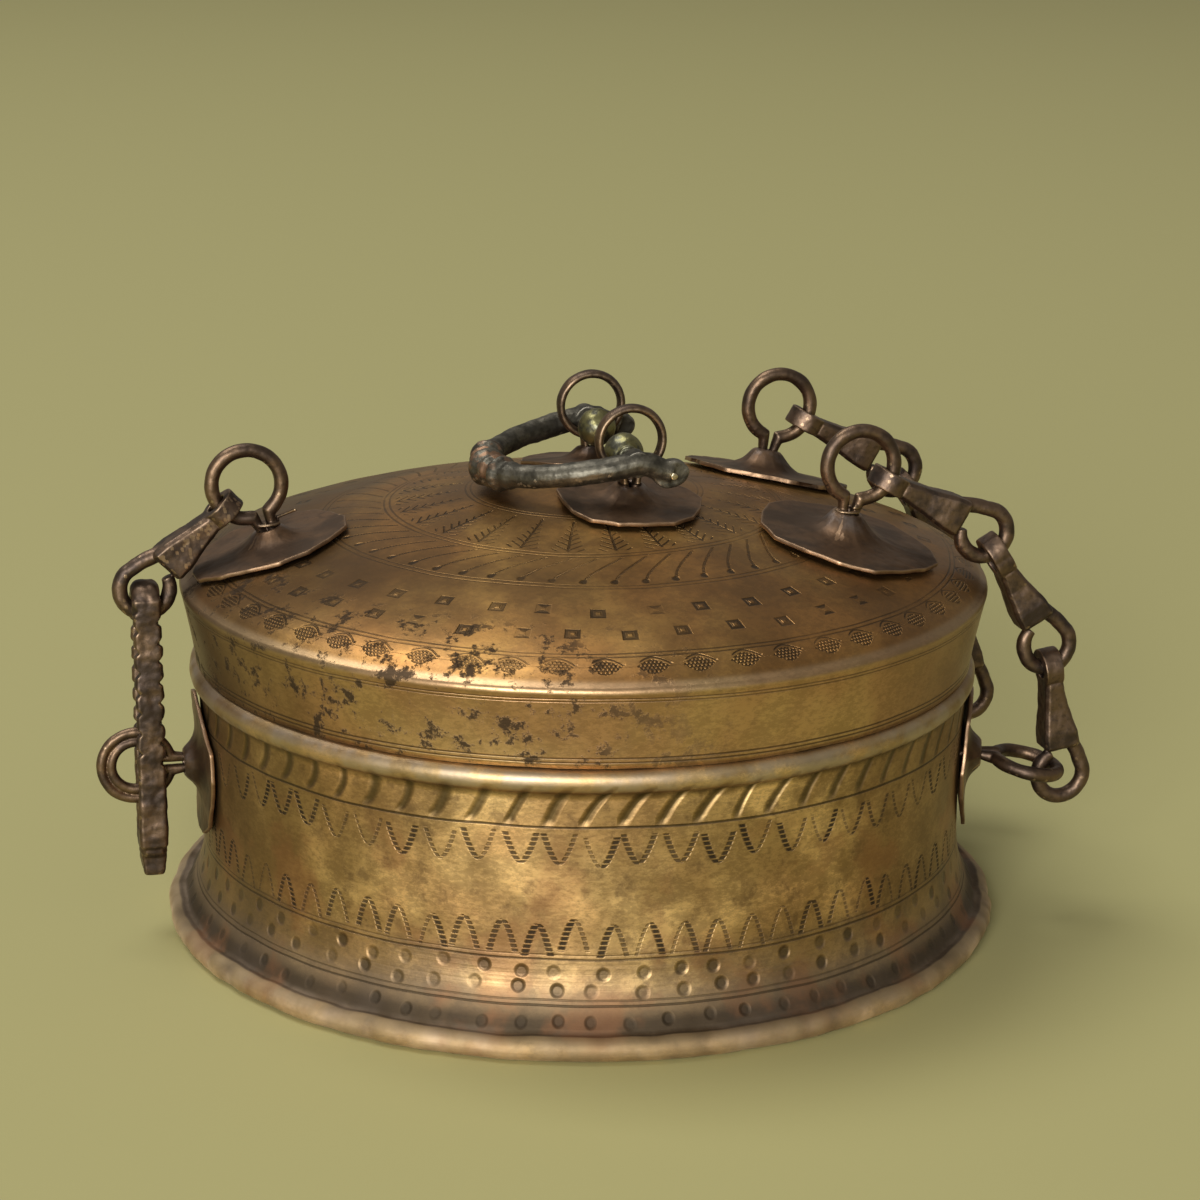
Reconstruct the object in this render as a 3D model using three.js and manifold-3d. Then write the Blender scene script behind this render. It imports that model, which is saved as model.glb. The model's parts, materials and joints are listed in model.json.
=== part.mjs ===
// A hand-made brass storage box: a drum with a rolled foot, and a domed lid that slips over its neck.
// Two chains of forged links join lid and drum behind, and a slotted hasp drops over a staple in front.
// Millimetres, +Z up. The drum stands on z = 0 round the Z axis, with the hasp at -X and the chains at +X.
import * as THREE from "three";
import { mergeVertices } from "three/addons/utils/BufferGeometryUtils.js";
import Module from "manifold-3d";

const wasm = await Module();
wasm.setup();

// Fits shared by all pieces
const touchGap = 0.3; // left between two pieces that touch
const holeGap = 0.35; // round a wire leg in its hole
const overrun = 6; // how far a cutter runs past the metal

// Drum
const waistRadius = 104.4;
const waistHeight = 33;
const footFlare = 10.6; // foot outside the waist
const footRadius = waistRadius + footFlare; // outside of the rolled hem
const hemRadius = 3.2; // the hem's own section
const wallThickness = 1.6;
const drumHeight = 74; // crown of the shoulder bead
const beadRadius = 3.4;
const neckHeight = 12.8; // what the lid slips over
const baseThickness = 1.6;

// Lid
const skirtOverhang = 1.6; // skirt's lower edge outside the waist
const skirtFootRadius = waistRadius + skirtOverhang;
const rimFlare = 3.8; // rim outside the skirt's lower edge
const rimRadius = skirtFootRadius + rimFlare; // widest place of the lid
const rimRound = 1.7;
const rimStart = 70; // degrees round the rim's roll
const rimEnd = -15;
const skirtHeight = 20.2; // lower edge to the widest place
const domeRise = 25.8; // rim's top to the dome's top
const lidThickness = 1.5;
const lidLooseness = 1.2; // skirt to neck

// Plates under the wire loops
const plateThickness = 1.1;
const lidPlateRadius = 24;
const closurePlateRadius = 21;
const bailPlateRadius = 19.5;
const bodyPlateRadius = 19.5;
const lidBoss = 6.4; // height of the drawn-up cone
const closureBoss = 4;
const bailBoss = 4;
const bodyBoss = 4.5;
const edgeLift = 0.5; // the plates' edges stand off a little

// Wire loops
const wireRadius = 1.75;
const legRadius = 1.25; // the wire is hammered thinner where it passes the metal
const legGap = 0.3;
const neckRise = 1.9; // from the plate's cone to the loop
const lidRing = 9.25; // centre line of the loops on the lid
const bodyRing = 8.8;
const bailRing = 8.6;
const bandHalfDepth = 1.2; // the bail's loops are flat bands
const bandHalfWidth = 2.2;
const splayReach = 6.5; // how far a leg is bent over inside
const splayDrop = 2.2;
const wholeTurn = 360; // degrees
const straightDown = -90;
const neckOpening = 14; // degrees each side of the neck that the ring leaves open

// Where the loops stand
const closureInset = 23.3; // loops from the rim, along the middle line
const chainInset = 46.9;
const closureLoopX = rimRadius - closureInset;
const closureLean = THREE.MathUtils.degToRad(24);
const chainY = 37; // each chain lies in one plane beside the middle
const chainLoopX = rimRadius - chainInset;
const chainLean = THREE.MathUtils.degToRad(14);
const stapleDrop = 26.8; // staples below the shoulder
const chainStapleDrop = 28;
const staplePlateZ = drumHeight - stapleDrop;
const chainStapleZ = drumHeight - chainStapleDrop;
const chainStapleDroop = THREE.MathUtils.degToRad(12);
const bailLoopX = 7;

// Forged links
const linkLength = 31.5; // eye's wire to hook's centre
const closureLinkLength = 29.3;
const hookRadius = 6.6; // centre line of the hook
const eyeHoleRadius = 2.9;
const eyeSlotLength = 2.2; // the folded strap leaves the eye longer than it is wide
const eyeWall = 2.5;
const eyeHeight = 4.6; // strap width
const blockLength = 12;
const blockWidth = 8;
const blockTop = 5;
const blockBottom = 4;
const blockSetback = 8; // flat end of the block to the hook's centre
const hookStart = 92; // degrees round the hook's centre, from the bar's own direction
const hookTip = -163;
const barChamfer = 1.3;

// Rest angles of the links, measured in the XZ plane from +X
const closureLinkAngle = THREE.MathUtils.degToRad(-135.8);
const lastLinkAngle = THREE.MathUtils.degToRad(-81);
const stapleSeatX = 1.7; // hook's centre to the staple's wire
const stapleSeatZ = 2;

// Hasp
const haspTab = 7.6; // below the slot
const haspSlack = 9.8; // slot's end below the staple's ring
const haspWidth = 7.5;
const haspLeg = 3;
const haspSlotWidth = 5.7;
const haspCrown = 5.1; // metal above the slot
const haspSeat = 2.1; // room over the hook's curved wire
const tabWidth = 7;
const notchDepth = 0.9;
const notchPitch = 7;
const notchCount = 6;

// Bail handle
const bailReach = 34.4; // pivot line to the middle of the bar
const bailHalfWidth = 28.9;
const bailLoopInset = 6.4;
const bailLoopY = bailHalfWidth - bailLoopInset;
const bailBarRadius = 3.3;
const bailTilt = THREE.MathUtils.degToRad(10.3); // how it lies on the dome
const beadSwell = 2;
const collarSwell = 1.3;
const collarPlace = 9;
const beadLength = 3.2;
const armOverrun = 8.5; // the arms run on past the pivots
const armDroop = 4.5;
const discLong = 4.9;
const discShort = 3.7;
const discThickness = 4.2;
const pivotRadius = 2.2;
const knobRadius = 5.2;
const knobInset = 13.6; // arm's middle to the knob's middle
const eyePinRadius = 0.95;
const eyePinLength = 3.4;
const eyePinProud = 1.1;

// Facets
const latheSteps = 64;
const plateSteps = 16;
const wireSides = 8;
const holeSides = 14;

const bodyBrass = new THREE.MeshStandardMaterial({ color: 0x8a6a34, roughness: 0.45, metalness: 1 });
const lidBrass = new THREE.MeshStandardMaterial({ color: 0x94692f, roughness: 0.42, metalness: 1 });
const plateCopper = new THREE.MeshStandardMaterial({ color: 0x6e4a30, roughness: 0.5, metalness: 1 });
const linkBronze = new THREE.MeshStandardMaterial({ color: 0x5c4331, roughness: 0.5, metalness: 1 });
const bailBronze = new THREE.MeshStandardMaterial({ color: 0x57544a, roughness: 0.48, metalness: 1 });
const pinBrass = new THREE.MeshStandardMaterial({ color: 0xb39a62, roughness: 0.35, metalness: 1 });

const box = new THREE.Group();
const xAxis = new THREE.Vector3(1, 0, 0);
const yAxis = new THREE.Vector3(0, 1, 0);
const zAxis = new THREE.Vector3(0, 0, 1);

// Turns a closed geometry's faces outwards and drops faces that have shrunk to a line
function closed(geometry) {
  const bare = geometry.clone();
  bare.deleteAttribute("normal");
  bare.deleteAttribute("uv");
  const merged = mergeVertices(bare);
  const place = merged.getAttribute("position");
  const faces = [];
  let volume = 0;
  const corner = [new THREE.Vector3(), new THREE.Vector3(), new THREE.Vector3()];
  for (let i = 0; i < merged.index.count; i += 3) {
    const face = [0, 1, 2].map((k) => merged.index.getX(i + k));
    if (face[0] === face[1] || face[1] === face[2] || face[0] === face[2]) continue;
    face.forEach((v, k) => corner[k].fromBufferAttribute(place, v));
    volume += corner[0].dot(corner[1].clone().cross(corner[2]));
    faces.push(face);
  }
  if (volume < 0) faces.forEach((face) => face.reverse());
  const result = new THREE.BufferGeometry();
  result.setAttribute("position", place.clone());
  result.setIndex(faces.flat());
  return result;
}

function toSolid(geometry) {
  const shape = closed(geometry);
  return new wasm.Manifold(new wasm.Mesh({
    numProp: 3,
    vertProperties: Float32Array.from(shape.getAttribute("position").array),
    triVerts: Uint32Array.from(shape.index.array),
  }));
}

function toGeometry(solid) {
  const mesh = solid.getMesh();
  const geometry = new THREE.BufferGeometry();
  geometry.setAttribute("position", new THREE.BufferAttribute(mesh.vertProperties, 3));
  geometry.setIndex(new THREE.BufferAttribute(mesh.triVerts, 1));
  return geometry;
}

const join = (first, ...rest) => toGeometry(rest.reduce((sum, g) => sum.add(toSolid(g)), toSolid(first)));
const cut = (first, ...rest) => toGeometry(rest.reduce((sum, g) => sum.subtract(toSolid(g)), toSolid(first)));

// Joins rings of points into a closed skin: a tube with capped ends, or a full turn when it bites its tail
function skin(rings, fullTurn = false) {
  const around = rings[0].length;
  const faces = [];
  const last = fullTurn ? rings.length : rings.length - 1;
  for (let i = 0; i < last; i += 1) {
    const next = (i + 1) % rings.length;
    for (let j = 0; j < around; j += 1) {
      const k = (j + 1) % around;
      const [a, b] = [i * around + j, i * around + k];
      const [c, d] = [next * around + k, next * around + j];
      faces.push(a, b, c, a, c, d);
    }
  }
  if (!fullTurn) {
    const end = (rings.length - 1) * around;
    for (let j = 1; j < around - 1; j += 1) {
      faces.push(0, j + 1, j, end, end + j, end + j + 1);
    }
  }
  const geometry = new THREE.BufferGeometry();
  geometry.setAttribute("position", new THREE.Float32BufferAttribute(rings.flat().flatMap((p) => p.toArray()), 3));
  geometry.setIndex(faces);
  return closed(geometry);
}

// Sweeps an oval section along points, without twist; half(i) gives the half widths across and aside
function sweep(points, half, side, sides = wireSides) {
  let across = null;
  return skin(points.map((point, i) => {
    const ahead = points[Math.min(i + 1, points.length - 1)];
    const behind = points[Math.max(i - 1, 0)];
    const along = ahead.clone().sub(behind).normalize();
    if (!across) across = along.clone().cross(side);
    across.addScaledVector(along, -across.dot(along)).normalize();
    const aside = along.clone().cross(across);
    const [a, b] = half(i, points.length);
    return Array.from({ length: sides }, (_, k) => {
      const turn = ((k + 0.5) / sides) * 2 * Math.PI;
      return point.clone()
        .addScaledVector(across, a * Math.cos(turn))
        .addScaledVector(aside, b * Math.sin(turn));
    });
  }));
}

function revolve(outline) {
  return closed(new THREE.LatheGeometry(outline, latheSteps).rotateX(Math.PI / 2));
}

function arc(centreX, centreY, radius, from, to, steps) {
  return Array.from({ length: steps + 1 }, (_, i) => {
    const turn = THREE.MathUtils.degToRad(from + ((to - from) * i) / steps);
    return new THREE.Vector2(centreX + radius * Math.cos(turn), centreY + radius * Math.sin(turn));
  });
}

function add(name, geometry, material, parent = box) {
  const mesh = new THREE.Mesh(closed(geometry), material);
  mesh.name = name;
  parent.add(mesh);
  return mesh;
}

// Drum outline
const hemCentre = footRadius - hemRadius;
const hemStart = 114; // degrees round the hem's centre, where the wall turns out into it
const hemEnd = -205;
const hemJoin = THREE.MathUtils.degToRad(hemStart);
const flareFootRadius = hemCentre + hemRadius * Math.cos(hemJoin);
const flareFootZ = hemRadius + hemRadius * Math.sin(hemJoin);
const neckRadius = skirtFootRadius - lidThickness - lidLooseness;
const beadCentre = (skirtFootRadius + neckRadius) / 2 - lidThickness / 3;
const beadZ = drumHeight - beadRadius;
const beadStart = -70;
const shoulderRadius = beadCentre + beadRadius * Math.cos(THREE.MathUtils.degToRad(beadStart));
const shoulderZ = beadZ + beadRadius * Math.sin(THREE.MathUtils.degToRad(beadStart));
const flarePower = 3.26;

function wallRadius(z) {
  if (z < waistHeight) {
    const share = (waistHeight - z) / (waistHeight - flareFootZ);
    return waistRadius + (flareFootRadius - waistRadius) * share ** flarePower;
  }
  const share = Math.min((z - waistHeight) / (shoulderZ - waistHeight), 1);
  return waistRadius + (shoulderRadius - waistRadius) * share ** 2;
}

function bodyShell() {
  const wallShares = [0.06, 0.17, 0.32, 0.55, 1];
  const lower = wallShares.map((s) => flareFootZ + s * (waistHeight - flareFootZ));
  const upper = [0.35, 0.7].map((s) => waistHeight + s * (shoulderZ - waistHeight));
  const levels = [...lower, ...upper];
  const neckTop = drumHeight + neckHeight;
  const lip = wallThickness / 2;
  const beadEnd = THREE.MathUtils.radToDeg(Math.acos((neckRadius - beadCentre) / beadRadius));
  const hemArc = arc(hemCentre, hemRadius, hemRadius, hemStart, hemEnd, 10);
  const outer = levels.map((z) => new THREE.Vector2(wallRadius(z), z));
  const bead = arc(beadCentre, beadZ, beadRadius, beadStart, beadEnd, 6);
  const lipArc = arc(neckRadius - lip, neckTop - lip, lip, 0, 180, 2);
  const inner = levels.map((z) => new THREE.Vector2(wallRadius(z) - wallThickness, z)).reverse();
  const outline = [
    ...hemArc.reverse(),
    ...outer,
    ...bead,
    ...lipArc,
    new THREE.Vector2(neckRadius - wallThickness, beadZ + beadRadius / 2),
    new THREE.Vector2(shoulderRadius - wallThickness, shoulderZ - beadRadius / 4),
    ...inner,
  ];
  outline.push(outline[0].clone());
  return revolve(outline);
}

// Lid outline
const skirtZ = drumHeight + touchGap;
const rimZ = skirtZ + skirtHeight;
const rimTop = rimZ + rimRound;
const domeRadius = rimRadius - rimRound;
const domePower = 1.15;
const domeFullness = 0.65;
const skirtPower = 1.25;

function domeZ(radius) {
  const share = Math.min(radius / domeRadius, 1);
  return rimTop + domeRise * (1 - share ** domePower) ** domeFullness;
}

function lidShell() {
  const domeShares = [0, 0.14, 0.3, 0.46, 0.62, 0.76, 0.87, 0.95, 0.99];
  const skirtShares = [0.7, 0.4, 0.15, 0];
  const skirtRadius = (s) => skirtFootRadius + (rimRadius - skirtFootRadius) * s ** skirtPower;
  const dome = domeShares.map((s) => new THREE.Vector2(s * domeRadius, domeZ(s * domeRadius)));
  const rim = arc(domeRadius, rimZ, rimRound, rimStart, rimEnd, 4);
  const skirt = skirtShares.map((s) => new THREE.Vector2(skirtRadius(s), skirtZ + s * skirtHeight));
  const inside = skirt.map((p) => new THREE.Vector2(p.x - lidThickness, p.y)).reverse();
  const ceiling = domeShares.slice(0, -1).reverse()
    .map((s) => new THREE.Vector2(s * domeRadius, domeZ(s * domeRadius) - lidThickness));
  const corner = new THREE.Vector2(domeRadius - lidThickness / 2, rimZ);
  return revolve([...dome, ...rim, ...skirt, ...inside, corner, ...ceiling]);
}

// Plates: thin sheet that follows what it lies on, drawn up to a cone round the loop's legs
const legHole = 2 * legRadius + legGap / 2 + holeGap;
const stationShares = [0, 0.06, 0.16, 0.32, 0.6, 1];
const bossShares = [1, 0.93, 0.55, 0.22, 0.04, 0];
const edgeShares = [1, 0.97, 1.02, 0.99, 0.95, 1, 1.03, 0.97, 0.99, 1.02, 0.95, 0.97, 1.02, 1, 0.96, 1.02];

// onSurface(a, b, height) gives the point that lies height above the surface at a, b from the plate's middle
function plate(radius, boss, onSurface, turnSteps) {
  const ring = (station, lift) => Array.from({ length: plateSteps }, (_, i) => {
    const turn = (i / plateSteps) * 2 * Math.PI;
    const share = stationShares[station];
    const edge = radius * edgeShares[(i + turnSteps) % edgeShares.length];
    const reach = legHole + share * (edge - legHole);
    const height = touchGap + holeGap / 5 + boss * bossShares[station] + edgeLift * share ** 3 + lift;
    return onSurface(reach * Math.cos(turn), reach * Math.sin(turn), height);
  });
  const top = stationShares.map((_, i) => ring(i, plateThickness));
  const under = [5, 4, 3, 2, 0].map((i) => ring(i, 0));
  return skin([...top, ...under], true);
}

function onLid(x, y) {
  return (a, b, height) => new THREE.Vector3(a, b, height + domeZ(Math.hypot(x + a, y + b)));
}

function onWall(z) {
  return (a, b, height) => {
    const turn = a / waistRadius;
    const reach = wallRadius(z + b) + height;
    return new THREE.Vector3(reach * Math.cos(turn), reach * Math.sin(turn), b);
  };
}

// Wire loop in the XZ plane: two legs go down through plate and wall and are bent over inside
function loop({ ring, boss, lean, tip = 0, wall, deep = wireRadius, wide = wireRadius }) {
  const legX = legRadius + legGap / 2;
  const top = boss + touchGap + plateThickness;
  const inside = -(wall + touchGap + legRadius);
  const reach = neckRise + ring + deep;
  const legs = (side) => [
    new THREE.Vector3(side * splayReach, 0, inside - splayDrop),
    new THREE.Vector3(side * (legX + legRadius), 0, inside - legRadius),
    new THREE.Vector3(side * legX, 0, inside + legRadius),
    new THREE.Vector3(side * legX, 0, top - legRadius),
  ];
  const round = arc(0, reach, ring, straightDown - neckOpening, straightDown - wholeTurn + neckOpening, 20)
    .map((p) => new THREE.Vector3(p.x, 0, p.y).applyAxisAngle(yAxis, lean).applyAxisAngle(xAxis, tip))
    .map((p) => p.add(new THREE.Vector3(0, 0, top)));
  const points = [...legs(-1), ...round, ...legs(1).reverse()];
  const bare = legs(1).length;
  const half = (i, count) => {
    const inLeg = i < bare || i >= count - bare;
    return inLeg ? [legRadius, legRadius] : [deep, wide];
  };
  return sweep(points, half, yAxis);
}

// Distance from a surface to the middle of a loop that stands on it, and the loop's offset by its lean
function loopCentre(ring, boss, lean, deep = wireRadius) {
  const reach = neckRise + ring + deep;
  const top = boss + touchGap + plateThickness;
  return { aside: reach * Math.sin(lean), above: top + reach * Math.cos(lean) };
}

const holes = { lid: [], body: [] };

function legCutter(radius, depth) {
  return new THREE.CylinderGeometry(radius, radius, depth, holeSides).rotateX(Math.PI / 2);
}

// Plate, loop and hole on the lid
function lidFitting(name, { x, y, radius, boss, ring, lean, deep, wide, turnSteps }) {
  const seat = domeZ(Math.hypot(x, y));
  const sheet = add(`${name}_plate`, plate(radius, boss, onLid(x, y), turnSteps), plateCopper);
  sheet.position.set(x, y, 0);
  const shape = loop({ ring, boss, lean, wall: lidThickness + edgeLift, deep, wide });
  const wire = add(`${name}_loop`, shape, linkBronze);
  wire.position.set(x, y, seat);
  holes.lid.push(legCutter(legHole, 2 * overrun).translate(x, y, seat));
}

// Plate, loop and hole on the drum's wall at a turn round Z; roll tips the loop out of the upright
function bodyFitting(name, { turn, z, roll, tip, turnSteps }) {
  const seat = wallRadius(z);
  const sheet = add(`${name}_plate`, plate(bodyPlateRadius, bodyBoss, onWall(z), turnSteps), plateCopper);
  sheet.position.set(0, 0, z);
  sheet.rotation.z = turn;
  const place = new THREE.Group();
  place.position.set(seat * Math.cos(turn), seat * Math.sin(turn), z);
  place.rotation.set(0, 0, turn);
  const outward = new THREE.Group();
  outward.rotation.y = Math.PI / 2;
  place.add(outward);
  box.add(place);
  const shape = loop({ ring: bodyRing, boss: bodyBoss, lean: 0, tip, wall: wallThickness });
  const wire = add(`${name}_loop`, shape, linkBronze, outward);
  wire.rotation.z = roll;
  const cutter = new THREE.CylinderGeometry(legHole, legHole, 2 * overrun, holeSides).rotateZ(Math.PI / 2);
  holes.body.push(cutter.translate(seat, 0, z).rotateZ(turn));
}

// Forged link along +X from its pivot: strap eye round the wire before it, tapered bar, flat block, wire hook.
// side = 1 springs the hook from the +Z edge of the block, -1 from the -Z edge
function link(eyeAt, length, side, slotLength) {
  const hookX = eyeAt + length;
  const strap = new THREE.Shape();
  const outer = eyeHoleRadius + eyeWall;
  const barStart = eyeAt + outer + slotLength;
  strap.absarc(eyeAt, 0, outer, Math.PI / 2, 1.5 * Math.PI, false);
  strap.lineTo(barStart, -outer);
  strap.lineTo(barStart + outer, -blockWidth / 2);
  strap.lineTo(barStart + outer, blockWidth / 2);
  strap.lineTo(barStart, outer);
  const hole = new THREE.Path();
  const back = eyeAt - slotLength / 3;
  const front = eyeAt + slotLength;
  hole.absarc(back, 0, eyeHoleRadius, Math.PI / 2, 1.5 * Math.PI, false);
  hole.absarc(front, 0, eyeHoleRadius, 1.5 * Math.PI, 2.5 * Math.PI, false);
  strap.holes.push(hole);
  const eye = new THREE.ExtrudeGeometry(strap, { depth: eyeHeight, bevelEnabled: false, curveSegments: 8 });
  eye.translate(0, 0, -eyeHeight / 2);

  // The bar flares from the strap to a wedge-shaped block
  const section = (x, bottom, top, width) => {
    const c = barChamfer;
    const w = width / 2;
    return [[-w, bottom + c], [-w + c, bottom], [w - c, bottom], [w, bottom + c],
      [w, top - c], [w - c, top], [-w + c, top], [-w, top - c]]
      .map(([y, z]) => new THREE.Vector3(x, y, side * z));
  };
  const half = eyeHeight / 2;
  const blockEnd = hookX - blockSetback;
  const bar = skin([
    section(barStart + eyeWall / 2, -half, half, blockWidth),
    section(blockEnd - blockLength, -half * 1.1, half * 1.2, blockWidth * 0.92),
    section(blockEnd - blockLength * 0.35, -blockBottom, blockTop * 0.9, blockWidth),
    section(blockEnd, -blockBottom, blockTop, blockWidth * 0.94),
  ]);

  const round = arc(hookX, 0, hookRadius, hookStart, hookTip, 13).map((p) => new THREE.Vector3(p.x, 0, side * p.y));
  const root = new THREE.Vector3(blockEnd - barChamfer, 0, side * (blockTop - wireRadius));
  const path = [root, root.clone().lerp(round[0], 0.5).add(new THREE.Vector3(0, 0, side * barChamfer / 2)), ...round];
  const hook = sweep(path, () => [wireRadius, wireRadius], yAxis, 7);
  return join(eye, bar, hook);
}

// Slotted hasp, hanging along -Z from the hook's wire at its own origin
function hasp() {
  const half = haspSlotWidth / 2 + haspLeg;
  const crown = wireRadius + haspSeat;
  const slotTop = crown - haspSlotWidth / 2;
  const bottom = -haspReach;
  const outline = new THREE.Shape();
  outline.absarc(0, crown + haspCrown - half, half, 0, Math.PI, false);
  outline.lineTo(-half, -haspSlotEnd);
  outline.lineTo(-tabWidth / 2, -haspSlotEnd - haspLeg);
  outline.lineTo(-tabWidth / 2, bottom - haspLeg);
  outline.lineTo(tabWidth / 2, bottom - haspLeg);
  outline.lineTo(tabWidth / 2, -haspSlotEnd - haspLeg);
  outline.lineTo(half, -haspSlotEnd);
  const slot = new THREE.Path();
  slot.absarc(0, slotTop, haspSlotWidth / 2, 0, Math.PI, false);
  slot.absarc(0, haspSlotWidth / 2 - haspSlotEnd, haspSlotWidth / 2, Math.PI, 2 * Math.PI, false);
  outline.holes.push(slot);
  const blank = new THREE.ExtrudeGeometry(outline, { depth: haspWidth, bevelEnabled: false, curveSegments: 8 });
  blank.translate(0, 0, -haspWidth / 2);
  blank.applyMatrix4(new THREE.Matrix4().makeBasis(yAxis, zAxis, xAxis));
  const notches = [];
  for (let i = 0; i < notchCount; i += 1) {
    for (const edge of [-1, 1]) {
      const notch = new THREE.CylinderGeometry(notchDepth * 2, notchDepth * 2, 2 * overrun + half, 6);
      notches.push(notch.translate(edge * (haspWidth / 2 + notchDepth), 0, -notchPitch * (i + 1.5 + edge * 0.2)));
    }
  }
  return cut(blank, ...notches);
}

// Bail: a horseshoe bar in the plane of its pivot line, along -X, with a beaded middle and drooping arm ends
function bail() {
  const place = (a, y, h) => new THREE.Vector3(-a, y, h);
  const bend = arc(0, 0, 1, straightDown, -straightDown, 24)
    .map((p) => place(bailReach * p.x, bailHalfWidth * p.y, 0));
  const arm = (side) => [
    place(-armOverrun, side * bailHalfWidth, -armDroop),
    place(-armOverrun * 0.75, side * bailHalfWidth, -armDroop * 0.7),
    place(-armOverrun * 0.4, side * bailHalfWidth, -armDroop * 0.2),
  ];
  const points = [...arm(-1), ...bend, ...arm(1).reverse()];
  const swell = (distance, width, height) => height * Math.exp(-((distance / width) ** 2));
  const bar = sweep(points, (i) => {
    const y = points[i].y;
    const inBend = points[i].x < -bailReach / 2;
    const beads = swell(y, beadLength, beadSwell) + swell(Math.abs(y) - collarPlace, beadLength / 2, collarSwell);
    const radius = bailBarRadius + (inBend ? beads : 0);
    return [radius, radius];
  }, zAxis);
  const parts = [];
  const holesHere = [];
  for (const side of [-1, 1]) {
    const disc = new THREE.CylinderGeometry(discShort, discShort, discThickness, 14).scale(discLong / discShort, 1, 1);
    parts.push(disc.translate(armOverrun, side * bailHalfWidth, -armDroop));
    const pivot = new THREE.CylinderGeometry(pivotRadius + touchGap, pivotRadius + touchGap, 2 * overrun, holeSides);
    holesHere.push(pivot.translate(0, side * bailHalfWidth, 0));
    const pin = new THREE.CylinderGeometry(eyePinRadius + touchGap, eyePinRadius + touchGap, eyePinLength, holeSides);
    const outside = bailHalfWidth + discThickness / 2;
    holesHere.push(pin.translate(armOverrun, side * (outside + eyePinProud / 2), -armDroop));
  }
  return cut(join(bar, ...parts), ...holesHere);
}

// Pivot pin with a ball on its inner end, along +Y from the arm's outer side
function bailPin() {
  const outside = -bailBarRadius + touchGap;
  const steps = 7;
  const start = Math.PI - Math.asin(pivotRadius / knobRadius);
  const ball = Array.from({ length: steps + 1 }, (_, i) => {
    const turn = start * (1 - i / steps);
    return new THREE.Vector2(knobRadius * Math.sin(turn), knobInset + knobRadius * Math.cos(turn));
  });
  const outline = [new THREE.Vector2(0, outside), new THREE.Vector2(pivotRadius, outside)];
  ball.forEach((p) => outline.push(p));
  outline[outline.length - 1].x = 0;
  return closed(new THREE.LatheGeometry(outline, 12));
}

// A point turned to the right by an angle in the XZ plane, from a start point
const along = (from, angle, distance) => new THREE.Vector3(
  from.x + distance * Math.cos(angle), from.y, from.z + distance * Math.sin(angle));

// Where two bars meet, on the outer side of the line between their far ends
function elbow(from, to, first, second) {
  const gap = to.clone().sub(from);
  const span = gap.length();
  const foot = (first ** 2 - second ** 2 + span ** 2) / (2 * span);
  const rise = Math.sqrt(Math.max(first ** 2 - foot ** 2, 0));
  const ahead = gap.normalize();
  return from.clone().addScaledVector(ahead, foot).add(new THREE.Vector3(-ahead.z * rise, 0, ahead.x * rise));
}

const angleOf = (from, to) => Math.atan2(to.z - from.z, to.x - from.x);

function place(mesh, at, angle) {
  mesh.position.copy(at);
  mesh.rotation.y = -angle;
}

// Fittings on the lid
const closureSeat = domeZ(closureLoopX);
lidFitting("closure", {
  x: -closureLoopX, y: 0, radius: closurePlateRadius, boss: closureBoss, ring: lidRing, lean: -closureLean, turnSteps: 3,
});
for (const [word, side] of [["front", -1], ["rear", 1]]) {
  lidFitting(`lid_chain_${word}`, {
    x: chainLoopX, y: side * chainY, radius: lidPlateRadius, boss: lidBoss, ring: lidRing, lean: chainLean,
    turnSteps: 8 + side * 2,
  });
  lidFitting(`bail_${word}`, {
    x: bailLoopX, y: side * bailLoopY, radius: bailPlateRadius, boss: bailBoss, ring: bailRing, lean: 0,
    deep: bandHalfDepth, wide: bandHalfWidth, turnSteps: 14 + side * 3,
  });
}

// Staple under the hasp, and the two chain staples, whose loops lie flat
bodyFitting("hasp_staple", { turn: Math.PI, z: staplePlateZ, roll: 0, tip: 0, turnSteps: 5 });
const stapleSeat = loopCentre(bodyRing, bodyBoss, chainStapleDroop);
const chainStapleReach = wallRadius(chainStapleZ) + stapleSeat.above;
const chainStapleTurn = Math.asin(chainY / chainStapleReach);
for (const [word, side] of [["front", -1], ["rear", 1]]) {
  bodyFitting(`chain_staple_${word}`, {
    turn: side * chainStapleTurn, z: chainStapleZ, roll: Math.PI / 2, tip: chainStapleDroop, turnSteps: 10 + side * 4,
  });
}

add("base_disc", new THREE.CylinderGeometry(
  hemCentre - hemRadius, hemCentre - hemRadius, baseThickness, latheSteps,
).rotateX(Math.PI / 2).translate(0, 0, baseThickness / 2), bodyBrass);
add("body_shell", cut(bodyShell(), ...holes.body), bodyBrass);
add("lid_shell", cut(lidShell(), ...holes.lid), lidBrass);

// Closure link on the lid's left loop, and the hasp on its hook, with its slot round the staple
const closureLoop = loopCentre(lidRing, closureBoss, closureLean);
const closureRing = new THREE.Vector3(-closureLoopX - closureLoop.aside, 0, closureSeat + closureLoop.above);
const closureHook = along(closureRing, closureLinkAngle, lidRing + closureLinkLength);
const stapleBottom = staplePlateZ - bodyRing - wireRadius;
const haspSlotEnd = closureHook.z - hookRadius - stapleBottom + haspSlack;
const haspReach = haspSlotEnd + haspTab;
place(add("closure_link", link(lidRing, closureLinkLength, -1, 0), linkBronze), closureRing, closureLinkAngle);
const haspMesh = add("hasp", hasp(), linkBronze);
haspMesh.position.set(closureHook.x, 0, closureHook.z - hookRadius);

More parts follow.
